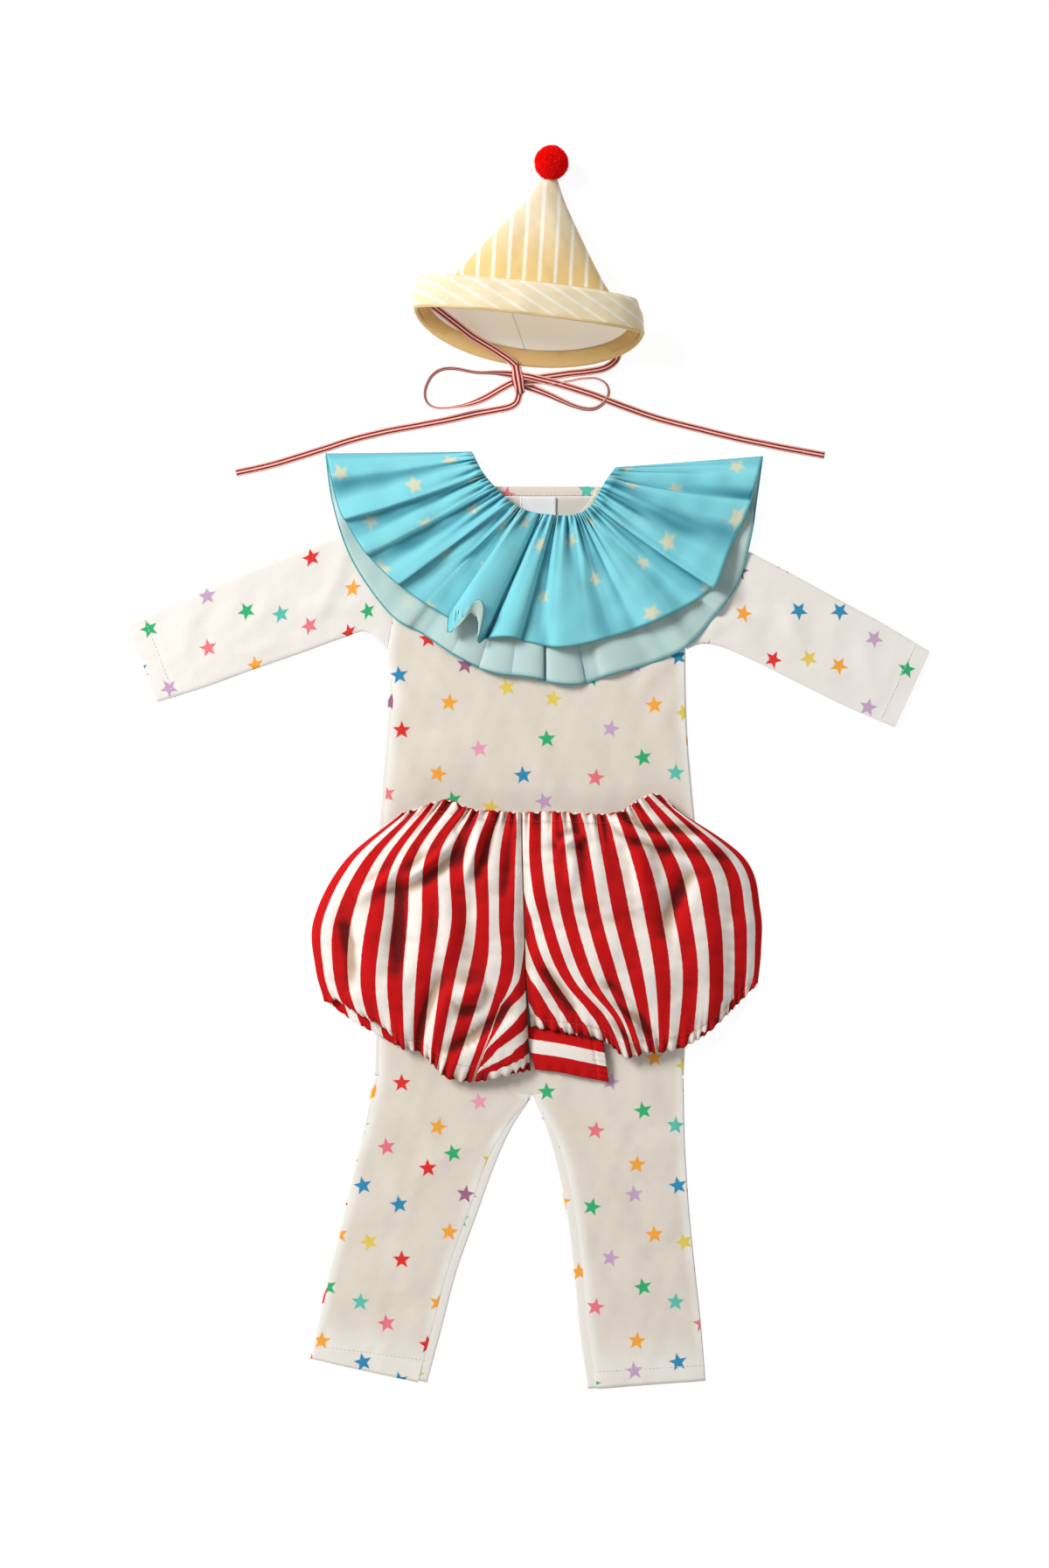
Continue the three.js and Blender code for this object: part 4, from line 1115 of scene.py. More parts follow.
def sleeve(name, table, shift, folds):
    # a flat closed tube; folds are the creases on its upper side, placed as the whole layout is
    run = np.linspace(0, len(table) - 1, 84)
    run[1], run[-2] = 0.005, run[-1] - 0.004
    ends = sectionsAt(table, run)
    half = 44
    turn = np.linspace(-np.pi / 2, np.pi / 2, half)
    turn[1], turn[-2] = turn[1] * 0.2 + turn[0] * 0.8, turn[-2] * 0.2 + turn[-1] * 0.8
    upper, lower = np.sin(turn), np.sin(turn[::-1])[1:-1]
    w = np.concatenate([upper, lower])[None, :]
    onTop = np.concatenate([np.ones(half), -np.ones(half - 2)])[None, :]
    mx, my = (ends["topX"] + ends["underX"]) / 2, (ends["topY"] + ends["underY"]) / 2
    rx, ry = (ends["topX"] - ends["underX"]) / 2, (ends["topY"] - ends["underY"]) / 2
    reach = np.hypot(rx, ry)
    x, y = mx + rx * w, my + ry * w
    fromEdge = (1 - np.abs(w)) * reach
    rounded = np.sqrt(np.clip(1 - (1 - np.clip(fromEdge / 3.2, 0, 1)) ** 2, 0, 1))
    along = np.hypot(mx - mx[0], my - my[0])
    lift = 0.9 * (1 - np.exp(-fromEdge / 12)) * smooth(0, 26, along) * smooth(0, 24, along[-1] - along)
    folded = creases(x, y, folds) + 0.3 * ripples(x, y, 36, 21) + 0.1 * ripples(x, y, 12, 22)
    lift = lift + folded * (1 - np.exp(-fromEdge / 6))
    hem = romper["hem"]
    lift = lift + 0.3 * smooth(hem + 0.8, hem - 0.8, along) - 0.25 * bell(along - hem, 1.0)
    lift = lift + 0.12 * np.sin(w * reach * 1.3) * bell(along - hem, 5)
    lift = lift - 0.2 * bell(along[-1] - along, 2.2)
    z = np.where(onTop > 0, 1.75 + 1.55 * rounded + np.maximum(lift, -0.8), 1.75 - 1.75 * rounded)
    points = np.stack([x, y, z], axis=-1)
    ring = points.shape[1]
    faces = gridFaces(len(run), ring, wrap=True)
    a, b, c = (points.reshape(-1, 3)[faces[:, i]] for i in (0, 1, 3))
    if np.cross(b - a, c - a)[:, 2][a[:, 2] > 3].mean() < 0:  # the upper faces must look up
        faces = faces[:, ::-1]
    flat = together(along + shift[0], w * reach + shift[1] + 200 * (onTop < 0)).reshape(-1, 2)
    # painted highlight: the rest map rises towards the cuff, where the sleeve is painted paler
    layers = {"rest": together(smooth(100, 10, along), 0 * w)}
    piece = makeMesh(name, points, faces, uv=flat * mm, layers=layers)
    printStars(piece.data, flat, starChart, starPrint)
    # the sleeve wears the paler star jersey, a painted lit copy of the front's cloth
    dress(piece, cloths["jerseyPaintedLit"], cloths["jerseyPlain"])
    row = int(np.argmin(np.abs(along[:, 0] - hem)))
    stitchLine = points[row, 2:half - 2] + [0, 0, 0.12]
    return thicken(piece, romper["wall"], backSlot=1), stitchLine


sleeveFolds = {
    "left": rowsOf("x0 y0 x1 y1 width height bend", [
        (-148, 178, -176, 112, 6, 0.9, 6),
        (-128, 120, -184, 128, 6, 0.8, -5),
        (-206, 150, -236, 98, 7, 0.7, 6),
        (-262, 128, -274, 84, 6, 0.5, -4),
        (-190, 104, -250, 92, 6, 0.6, 5),
    ]),
    "right": rowsOf("x0 y0 x1 y1 width height bend", [
        (150, 174, 176, 108, 6, 0.9, -6),
        (138, 110, 196, 118, 6, 0.8, 5),
        (206, 140, 232, 84, 7, 0.7, -6),
        (262, 112, 270, 66, 6, 0.5, 4),
        (196, 92, 250, 74, 6, 0.6, -5),
    ]),
}
romperFront, legHems = frontPanel()
romperBack = backPanel()
sleeveLeft, cuffLeft = sleeve("sleeveLeft", leftSleeve, (0, 0), sleeveFolds["left"])
sleeveRight, cuffRight = sleeve("sleeveRight", rightSleeve, (40, 60), sleeveFolds["right"])
wear(romperFront, "star_jersey", "romper_front")
wear(romperBack, "star_jersey", "romper_back")
wear(sleeveLeft, "star_jersey", "sleeve_left")
wear(sleeveRight, "star_jersey", "sleeve_right")
print("romper laid out")

neck = {
    "wide": 8.0, "thick": 1.3, "starX": 46.9, "starY": 221.9, "stitchDrop": 7.2,
    "labelLeft": -6.3, "labelRight": 22.4, "labelTop": 216.4, "labelBottom": 200.4,
}


def neckBinding():
    # a folded strip: straight across the back, dipping in front
    share = np.linspace(romper["neckFirst"], romper["neckLast"], 60)
    x = romper["tipLeft"] + 0.4 + (romper["tipRight"] - romper["tipLeft"] - 0.8) * share
    along = np.linspace(0, 1, 60)
    dip = romper["neckDrop"] * np.sin(np.pi * along) ** 0.75
    path = np.concatenate([
        np.stack([x, romper["neckY"] - dip, np.full(60, 2.35)], axis=1),
        np.stack([x[::-1], np.full(60, romper["neckY"]), np.full(60, 1.0)], axis=1),
    ])
    turn = np.linspace(0, 2 * np.pi, 16, endpoint=False)
    wave = 0.12 * np.sin(path[:, 0] * 1.6)
    across = neck["wide"] / 2 * np.sign(np.cos(turn)) * np.abs(np.cos(turn)) ** 0.5
    rise = neck["thick"] / 2 * np.sign(np.sin(turn)) * np.abs(np.sin(turn)) ** 0.8
    y = path[:, 1:2] - neck["wide"] / 2 - 0.2 + across[None, :]
    z = path[:, 2:3] + rise[None, :] + wave[:, None] * (rise[None, :] > 0)
    px = np.broadcast_to(path[:, 0:1], y.shape)
    points = np.stack([px, y, z], axis=-1)
    faces = gridFaces(len(path), len(turn), wrap=True, loop=True)
    flat = points.reshape(-1, 3)[:, :2]
    piece = makeMesh("neckBinding", points, faces, uv=flat * mm)
    teal = [starPrint["left"] + 236, starPrint["bottom"] + 32]  # that star comes to stand on the strip
    printStars(piece.data, flat - [neck["starX"], neck["starY"]] + teal, starChart, starPrint)
    return dress(piece, cloths["jersey"])


def neckLabel():
    x = np.linspace(neck["labelLeft"], neck["labelRight"], 30)[None, :]
    y = np.linspace(neck["labelTop"], neck["labelBottom"], 20)[:, None]
    z = 1.95 + 0.12 * np.sin(x * 0.3) + 0.1 * np.cos(y * 0.5) + 0 * x
    points = np.stack(np.broadcast_arrays(x, y, z), axis=-1)
    piece = makeMesh("neckLabel", points, gridFaces(20, 30), uv=points[..., :2].reshape(-1, 2) * mm)
    return thicken(dress(piece, cloths["label"]), 0.4)


binding = wear(neckBinding(), "star_jersey", "neck_binding")
label = wear(neckLabel(), "label_satin", "neck_label")

hemLines = legHems + [cuffLeft, cuffRight]
bindingLine = [[x, romper["neckY"] - neck["stitchDrop"], 1.75] for x in np.linspace(-24, 53, 40)]
labelLines = []
for x in (neck["labelLeft"] + 1, neck["labelRight"] - 1):
    labelLines.append([[x, y, 2.14] for y in np.linspace(215.6, 201.2, 12)])
wear(sew("hemStitches", hemLines, cloths["whiteThread"], 2.4, 0.9, 0.22), "star_jersey")
wear(sew("bindingStitches", [bindingLine], cloths["whiteThread"], 2.2, 0.9, 0.2), "star_jersey")
wear(sew("labelStitches", labelLines, cloths["whiteThread"], 1.2, 0.6, 0.14), "label_satin")
print("neck and hems sewn")

# the collar: a full ruffle laid folded in half, its back half wrong side up below the front
collar = {
    "wall": 0.6, "base": 4.4, "halfGap": 6.2, "foldGap": 3.4, "hemLength": 520.0, "gathers": 55,
    "gatherHeight": 2.1, "casing": 5.0, "turnBack": 0.13, "turnAt": 0.408, "turnHalf": 0.028,
}
collarPrint = {"wide": 150, "tall": 88, "left": 0, "bottom": 0}
collarNeck = rowsOf("x y", [
    (-44.8, 252.7), (-34.3, 233.1), (-15.4, 213.5), (-1.4, 205.1), (18.2, 201.6), (35.7, 201.6),
    (49.7, 208.6), (60.2, 226.1), (70, 240.1),
])
frontHem = rowsOf("x y", [
    (-161.7, 251.3), (-152, 212), (-135.8, 180.6), (-116.9, 158.2), (-90.3, 136.5), (-62.3, 119),
    (-42, 104), (-16.8, 104), (25.2, 96.6), (67.2, 105), (112.7, 122.5), (145.6, 144),
    (161.7, 177.1), (176, 209), (187.6, 249.2),
])
backHem = rowsOf("x y", [
    (-161.7, 249.2), (-156.1, 212.1), (-140.7, 166.6), (-111, 124), (-84, 107), (-58, 90),
    (-30.8, 77), (-2.8, 73), (37.1, 66.5), (64, 74), (100, 84.5), (128, 98), (152.6, 126),
    (168.7, 150), (179, 190), (187.6, 248.5),
])
# folds: neck and hem say where the crest stands along the ruffle, lean which way it falls over
frontFolds = rowsOf("neck hem wide high lean swell reach", [
    (0.03, 0.02, 26, 3.0, 4, 0, 1.3),
    (0.09, 0.07, 40, 7.0, 13, 0, 1.3),
    (0.125, 0.115, 22, -4.0, 0, 0, 1.0),
    (0.165, 0.15, 34, 5.5, 8, 0, 1.3),
    (0.205, 0.195, 26, -4.0, 0, 0, 0.95),
    (0.235, 0.225, 34, 7.5, 12, 0, 1.3),
    (0.29, 0.275, 30, 5.5, 8, 0, 0.72),
    (0.335, 0.345, 38, -5.5, 0, 0, 1.1),
    (0.40, 0.405, 52, 12.0, -7, 7, 1.3),
    (0.45, 0.452, 26, -5.5, 0, 0, 1.2),
    (0.49, 0.492, 34, 9.5, 4, 4, 1.3),
    (0.53, 0.535, 24, -5.0, 0, 0, 0.75),
    (0.57, 0.59, 54, 7.0, -9, 0, 1.3),
    (0.62, 0.64, 24, 4.5, 4, 0, 0.62),
    (0.655, 0.66, 22, -3.6, 0, 0, 0.7),
    (0.69, 0.70, 40, 5.5, 0, 0, 1.3),
    (0.73, 0.75, 22, 4.0, -3, 0, 0.6),
    (0.765, 0.775, 26, -5.0, 0, 0, 1.1),
    (0.805, 0.825, 48, 9.5, -17, 0, 1.3),
    (0.85, 0.862, 22, -4.0, 0, 0, 0.9),
    (0.885, 0.91, 38, 6.5, 9, 0, 1.3),
    (0.95, 0.968, 28, 4.0, 3, 0, 1.3),
])
backFolds = rowsOf("neck hem wide high lean swell reach", [
    (0.08, 0.08, 40, 3.0, 4, 0, 1.3),
    (0.22, 0.22, 36, 3.4, 5, 0, 1.3),
    (0.30, 0.30, 30, 4.6, 8, 5, 1.3),
    (0.355, 0.355, 24, 5.4, -5, 8, 1.3),
    (0.405, 0.41, 24, 6.0, 4, 9, 1.3),
    (0.455, 0.462, 24, 6.4, 6, 9, 1.3),
    (0.515, 0.525, 30, 5.4, -8, 5, 1.3),
    (0.60, 0.62, 44, 3.6, -8, 0, 1.3),
    (0.70, 0.72, 36, 3.2, 4, 0, 1.3),
    (0.80, 0.82, 38, 4.4, -9, 0, 1.3),
    (0.92, 0.93, 34, 3.0, 5, 0, 1.3),
])
collarStars = rowsOf("x y turn", [
    (14, 20, 0), (62, 10, 14), (106, 26, -10), (34, 54, 22), (84, 62, -16), (132, 66, 8),
])


def shoulderRest(x, y):
    # what lies on the shoulders comes down to the table beyond the romper's shoulder line
    line = np.where(x < 15, (x + 153) * 0.333 + 185, (177 - x) * 0.447 + 173)
    return collar["base"] + (0.4 - collar["base"]) * smooth(12, 42, y - line)


def ruffle(name, hem, folds, front, across, rows):
    u = np.linspace(0, 1, across)
    v = (np.linspace(0, 1, rows) ** 1.15)[:, None]
    neckLine, hemLine = (
        splineRow(np.linspace(0, 1, len(line)), together(column(line, "x"), column(line, "y")), u)
        for line in (collarNeck, hem)
    )
    fromTurn = (u - collar["turnAt"]) / collar["turnHalf"]
    turned = collar["turnBack"] * np.clip(1 - fromTurn**2, 0, 1)[None, :] * front
    crease = 1 - turned
    over = np.clip(v - crease, 0, None)
    plan = neckLine[None] + (hemLine - neckLine)[None] * (v - 1.75 * over)[..., None]
    tangent = unit(np.gradient(plan, axis=1))
    radial = np.linalg.norm(hemLine - neckLine, axis=1)[None, :] * v
    shift = np.zeros_like(radial)
    lift = np.zeros_like(radial)
    span = collar["hemLength"]
    for fold in folds:
        centre = fold["neck"] + (fold["hem"] - fold["neck"]) * v
        at = (u[None, :] - centre) * span / fold["wide"]
        bump = np.where(np.abs(at) < 0.5, 0.5 + 0.5 * np.cos(2 * np.pi * at), 0)
        side = np.where(np.abs(at) < 0.5, np.sin(2 * np.pi * at), 0)
        fade = 1 - smooth(fold["reach"] - 0.3, fold["reach"], v)
        lift += fold["high"] * bump * (0.4 + 0.6 * v) * fade
        shift += (fold["lean"] * bump + fold["swell"] * side) * (0.28 + 0.72 * v) * fade
    ends = smooth(0, 0.035, u) * smooth(1, 0.965, u)
    uneven = 0.5 * np.sin(2 * np.pi * 6 * u) + 0.3 * np.sin(2 * np.pi * 13 * u + 1)
    phase = 2 * np.pi * (collar["gathers"] * u + uneven)
    picks = np.random.default_rng(71 if front else 72)
    reach = np.interp(u, np.linspace(0, 1, 80), 9 + 26 * picks.random(80) ** 2)
    stress = np.interp(u, np.linspace(0, 1, 60), 0.6 + 0.7 * picks.random(60))
    gather = (np.cos(phase) * stress)[None, :] * np.exp(-radial / reach[None, :]) * collar["gatherHeight"]
    longer = np.interp(u, np.linspace(0, 1, 40), 22 + 40 * picks.random(40) ** 1.5)
    fine = 1.5 * np.cos(phase * 0.5 + 1.1)[None, :] * np.exp(-radial / longer[None, :])
    fine = fine * smooth(2, 12, radial)
    swell = 0.6 * ripples(plan[..., 0], plan[..., 1], 30, 31 if front else 32)
    casing = 1.3 * bell(radial - collar["casing"], 3.2) - 2.2 * np.exp(-radial / 1.8)
    x = plan[..., 0] + tangent[..., 0] * shift * ends
    y = plan[..., 1] + tangent[..., 1] * shift * ends
    low = shoulderRest(plan[..., 0], plan[..., 1])
    if front:
        under = low + 1.0 + (collar["foldGap"] + 0.4) * smooth(0, 0.06, np.sin(np.pi * u))
        spread = smooth(0, 0.3, np.sin(np.pi * u))
        above = collar["foldGap"] + (collar["halfGap"] - collar["foldGap"]) * spread
        edge = np.minimum(u, 1 - u) * span
        roll = np.sqrt(np.clip(1 - (1 - np.clip(edge / 9, 0, 1)) ** 2, 0, 1))
        z = low + 1.3 + (above[None, :] - 1.0) * roll[None, :] + (lift + gather + fine + swell) * ends
        z = z + casing * roll[None, :]
        z = under + 0.5 * (z - under + np.sqrt((z - under) ** 2 + 1.5))
    else:
        free = smooth(0.5, 0.85, v)
        z = low + 0.9 + (lift * 0.9 * free + 0.4 * gather + 0.3 * fine + 0.5 * swell) * ends
    z = np.maximum(z, 0.9) + 2.4 * smooth(0, 0.02, over) + 12 * over
    points = np.stack([x, y, z], axis=-1)
    flat = together(u[None, :] * span, radial).reshape(-1, 2)
    # painted shade: the fold map is deepest in the hollows between folds and in the troughs of the gathers
    valley = hollow(z, span / across, 20) / 2.2 + np.clip(-gather - 0.5 * fine, 0, 1.4) * 0.55
    layers = {"fold": together(np.clip(valley, 0, 1), 0.0)}
    piece = makeMesh(name, points, gridFaces(rows, across), uv=flat * mm, layers=layers)
    printStars(piece.data, flat, collarStars, collarPrint)
    order = ("collarFace", "collarWrong") if front else ("collarWrong", "collarFace")
    dress(piece, *(cloths[side] for side in order))
    return thicken(piece, collar["wall"], backSlot=1), points[-1]


collarBack, backEdge = ruffle("collarBack", backHem, backFolds, False, across=321, rows=44)
collarFront, frontEdge = ruffle("collarFront", frontHem, frontFolds, True, across=601, rows=60)
wear(collarBack, "aqua_cotton", "collar_back")
wear(collarFront, "aqua_cotton", "collar_front")
for name, edge, radius in (("collarBackEdge", backEdge, 0.62), ("collarFrontEdge", frontEdge, 0.5)):
    wear(dress(tube(name, edge - [0, 0, 0.3], radius, 8), cloths["serger"]), "aqua_cotton")
print("collar gathered")

# the bloomers: each row of a table is one grain line, from the waist to the leg hem
bloomers = {
    "base": 4.3, "clear": 1.5, "puff": 25.6, "gape": 5.0, "wall": 0.7, "casing": 8.5, "pucker": 7.4,
    "puckerHeight": 1.9, "edgeRoll": 15.0, "stripe": 18, "backStripeShift": 0.45, "hemRaise": 9.0,
    "frontGrid": (140, 110), "backGrid": (70, 60), "mapTop": -15, "mapBottom": -262, "mapLeft": -200,
    "mapRight": 211,
}
grainStops = ("waist", "hip", "mid", "low", "hem")
leftGrain = rowsOf("waist hip mid low hem", [
    ((-101.5, -37), (-147, -75), (-171.5, -122), (-170, -160), (-163, -186)),
    ((-88.9, -33), (-125.3, -73), (-147.7, -120), (-149.8, -166), (-140, -202)),
    ((-75.6, -28), (-110, -75), (-119.7, -120), (-126.7, -169), (-121.8, -212)),
    ((-63.7, -26), (-96.6, -75), (-102.2, -120), (-105.7, -170), (-102.2, -223)),
    ((-50.4, -31), (-74.9, -68), (-77, -120), (-82.6, -170), (-88.2, -226)),
    ((-40.6, -34), (-56, -70), (-53.9, -120), (-63.7, -166), (-75, -237)),
    ((-27.3, -34.5), (-37.1, -71), (-35.7, -120), (-41.3, -164), (-66, -246)),
    ((-13.3, -35.5), (-16.8, -71), (-18.2, -120), (-16, -166), (-44, -250)),
    ((-5.2, -35.7), (-4.9, -71), (-3.2, -120), (-2, -170), (1.6, -241)),
])
rightGrain = rowsOf("waist hip mid low hem", [
    ((-4.5, -35.7), (-4.2, -71), (-2.5, -120), (-1.3, -170), (2.5, -206)),
    ((5.6, -35.7), (5.3, -75), (13.6, -120), (30, -165), (30, -211)),
    ((23.1, -35), (25.6, -75), (32.2, -120), (48.3, -168), (60, -217)),
    ((37.8, -36.4), (44.1, -75), (52.2, -120), (66.5, -168), (78, -231)),
    ((58.8, -37), (65.5, -75), (74.2, -120), (86.1, -168), (93, -227)),
    ((74.2, -35), (89.3, -75), (100.1, -120), (106.4, -168), (110, -226)),
    ((84.7, -28), (111.7, -75), (122.5, -120), (128.8, -166), (127, -221)),
    ((93.8, -23), (134.4, -73), (146, -118), (149.5, -163), (147, -208)),
    ((102.2, -21), (157, -74), (168, -116), (170, -155), (168, -188)),
    ((115, -31), (173, -72), (186, -114), (186.5, -146), (184, -172)),
])
# where the red stripes run: grain lines first, then the ones that start at the centre seam
leftStripes = {
    "seam": [(-20, 7.5), (-71, 7.55), (-120, 7.6), (-168, 8.0), (-201, 9.0), (-225, 10.0), (-243, 11.0)],
    "lines": {n: [leftGrain[n][k] for k in grainStops] for n in range(1, 8)} | {
        8: [(-2.8, -168), (-20.3, -187), (-58.8, -208), (-74.9, -236), (-80, -246)],
        9: [(-2.8, -201), (-30.8, -222), (-58.8, -239.5), (-69.3, -246), (-75, -250)],
        10: [(1.4, -225.4), (-23.8, -236), (-58.8, -248), (-66, -251), (-72, -254)],
    },
    "outer": [(-101.5, -37), (-147, -75), (-171.5, -122), (-170, -160), (-163, -186), (-150, -215)],
    "edge": -0.1,
}
rightHems = {1: (75.6, -234.5), 2: (82.6, -232.4), 3: (89.6, -231), 4: (98.7, -227.5), 5: (107, -229),
             6: (123, -224), 7: (149, -209), 8: (169, -185)}
rightStripes = {
    "seam": [(-20, 0.4), (-71, 0.42), (-99, 0.27), (-120, -0.1), (-168, -1.0), (-206, -1.8), (-250, -2.6)],
    "lines": {n: [rightGrain[n][k] for k in grainStops[:4]] + [rightHems[n]] for n in range(1, 9)} | {
        0: [(-2.8, -114), (5.6, -148), (25, -183), (42.7, -211), (58, -240)],
        -1: [(-2, -168), (21.7, -208), (34, -228), (44, -250)],
    },
    "outer": [(115, -31), (173, -72), (186, -114), (186.5, -146), (184.8, -168), (176, -200)], "edge": 9.1,
}
# the two stripes next to the turned-up corner bend once more above the hem
rightStripes["lines"][1].insert(4, (58, -198))
rightStripes["lines"][2].insert(4, (73, -201))


def stripeMap(chart, left):
    # a lookup from plan place to stripe count
    levels = np.arange(bloomers["mapTop"], bloomers["mapBottom"], -1.0)
    across = np.arange(bloomers["mapLeft"], bloomers["mapRight"], 1.0)
    table = np.zeros((len(levels), len(across)))

    def runAt(line, level):
        fine = curveThrough(line, 60)
        order = np.argsort(-fine[:, 1])
        fine = fine[order]
        if level > fine[0, 1] + 1 or level < fine[-1, 1] - 1:
            return None
        return float(np.interp(-level, -fine[:, 1], fine[:, 0]))

    for row, level in enumerate(levels):
        seam = splineRow([-p[0] for p in chart["seam"]], [p[1] for p in chart["seam"]], [-level])[0]
        pairs = [(-3.4, seam)]
        outer = curveThrough(chart["outer"], 60)
        pairs.append((float(np.interp(-level, -outer[:, 1], outer[:, 0])), chart["edge"]))
        for number, line in chart["lines"].items():
            x = runAt(line, level)
            if x is not None and (number < seam - 0.04 if left else number > seam + 0.04):
                pairs.append((x, number))
        pairs.sort(key=lambda pair: pair[1])
        counts = np.array([pair[1] for pair in pairs])
        xs = np.maximum.accumulate(np.array([pair[0] for pair in pairs]) + np.arange(len(pairs)) * 0.01)
        table[row] = np.interp(across, xs, counts)
        beyond = np.clip(across - xs[-1], 0, None) + np.clip(across - xs[0], None, 0)
        table[row] += beyond / bloomers["stripe"]
    for _ in range(3):
        table[1:-1] = (table[:-2] + 2 * table[1:-1] + table[2:]) / 4

    def countAt(x, y):
        i = np.clip(bloomers["mapTop"] - y, 0, len(levels) - 1.001)
        j = np.clip(x - bloomers["mapLeft"], 0, len(across) - 1.001)
        i0, j0 = i.astype(int), j.astype(int)
        a, b = i - i0, j - j0
        top = table[i0, j0] * (1 - b) + table[i0, j0 + 1] * b
        low = table[i0 + 1, j0] * (1 - b) + table[i0 + 1, j0 + 1] * b
        return top * (1 - a) + low * a
    return countAt


bloomerCreases = {
    "left": rowsOf("x0 y0 x1 y1 width height bend", [
        (-38, -40, -54, -92, 5, 6.1, 3),
        (-56, -54, -118, -94, 5.5, 8.5, 6),
        (-90, -62, -138, -104, 5, 5.2, 4),
        (-104, -84, -106, -172, 9, -7.3, 2),
        (-148, -118, -140, -178, 8, -5.2, 3),
        (-66, -160, -90, -228, 6, -7.3, -3),
        (-34, -174, -62, -180, 7, 6.9, 3),
        (-8, -184, -70, -228, 6, -5.2, 3),
        (-14, -52, -20, -104, 5, -3.6, 1),
        (-66, -96, -64, -158, 9, 4.4, 2),
    ]),
    "right": rowsOf("x0 y0 x1 y1 width height bend", [
        (62, -38, 112, -60, 4.5, 9.2, -3),
        (96, -56, 176, -68, 5, 8.5, 3),
        (22, -62, 44, -56, 4, 6.1, 1),
        (30, -46, 34, -96, 6, 4.0, 2),
        (50, -172, 98, -228, 5.5, 8.1, 2),
        (58, -180, 84, -204, 4, -4.8, 1),
        (0, -112, 118, -130, 17, -6.5, 4),
        (106, -138, 132, -78, 9, -6.9, 3),
        (84, -60, 92, -112, 8, 4.8, 2),
        (4, -150, 42, -204, 7, -4.4, 2),
    ]),
}


def bloomerRest(x):
    # cloth over the romper comes down to the table beyond its sides
    return bloomers["base"] + (0.2 - bloomers["base"]) * smooth(0, 22, np.abs(x - 5) - 136)


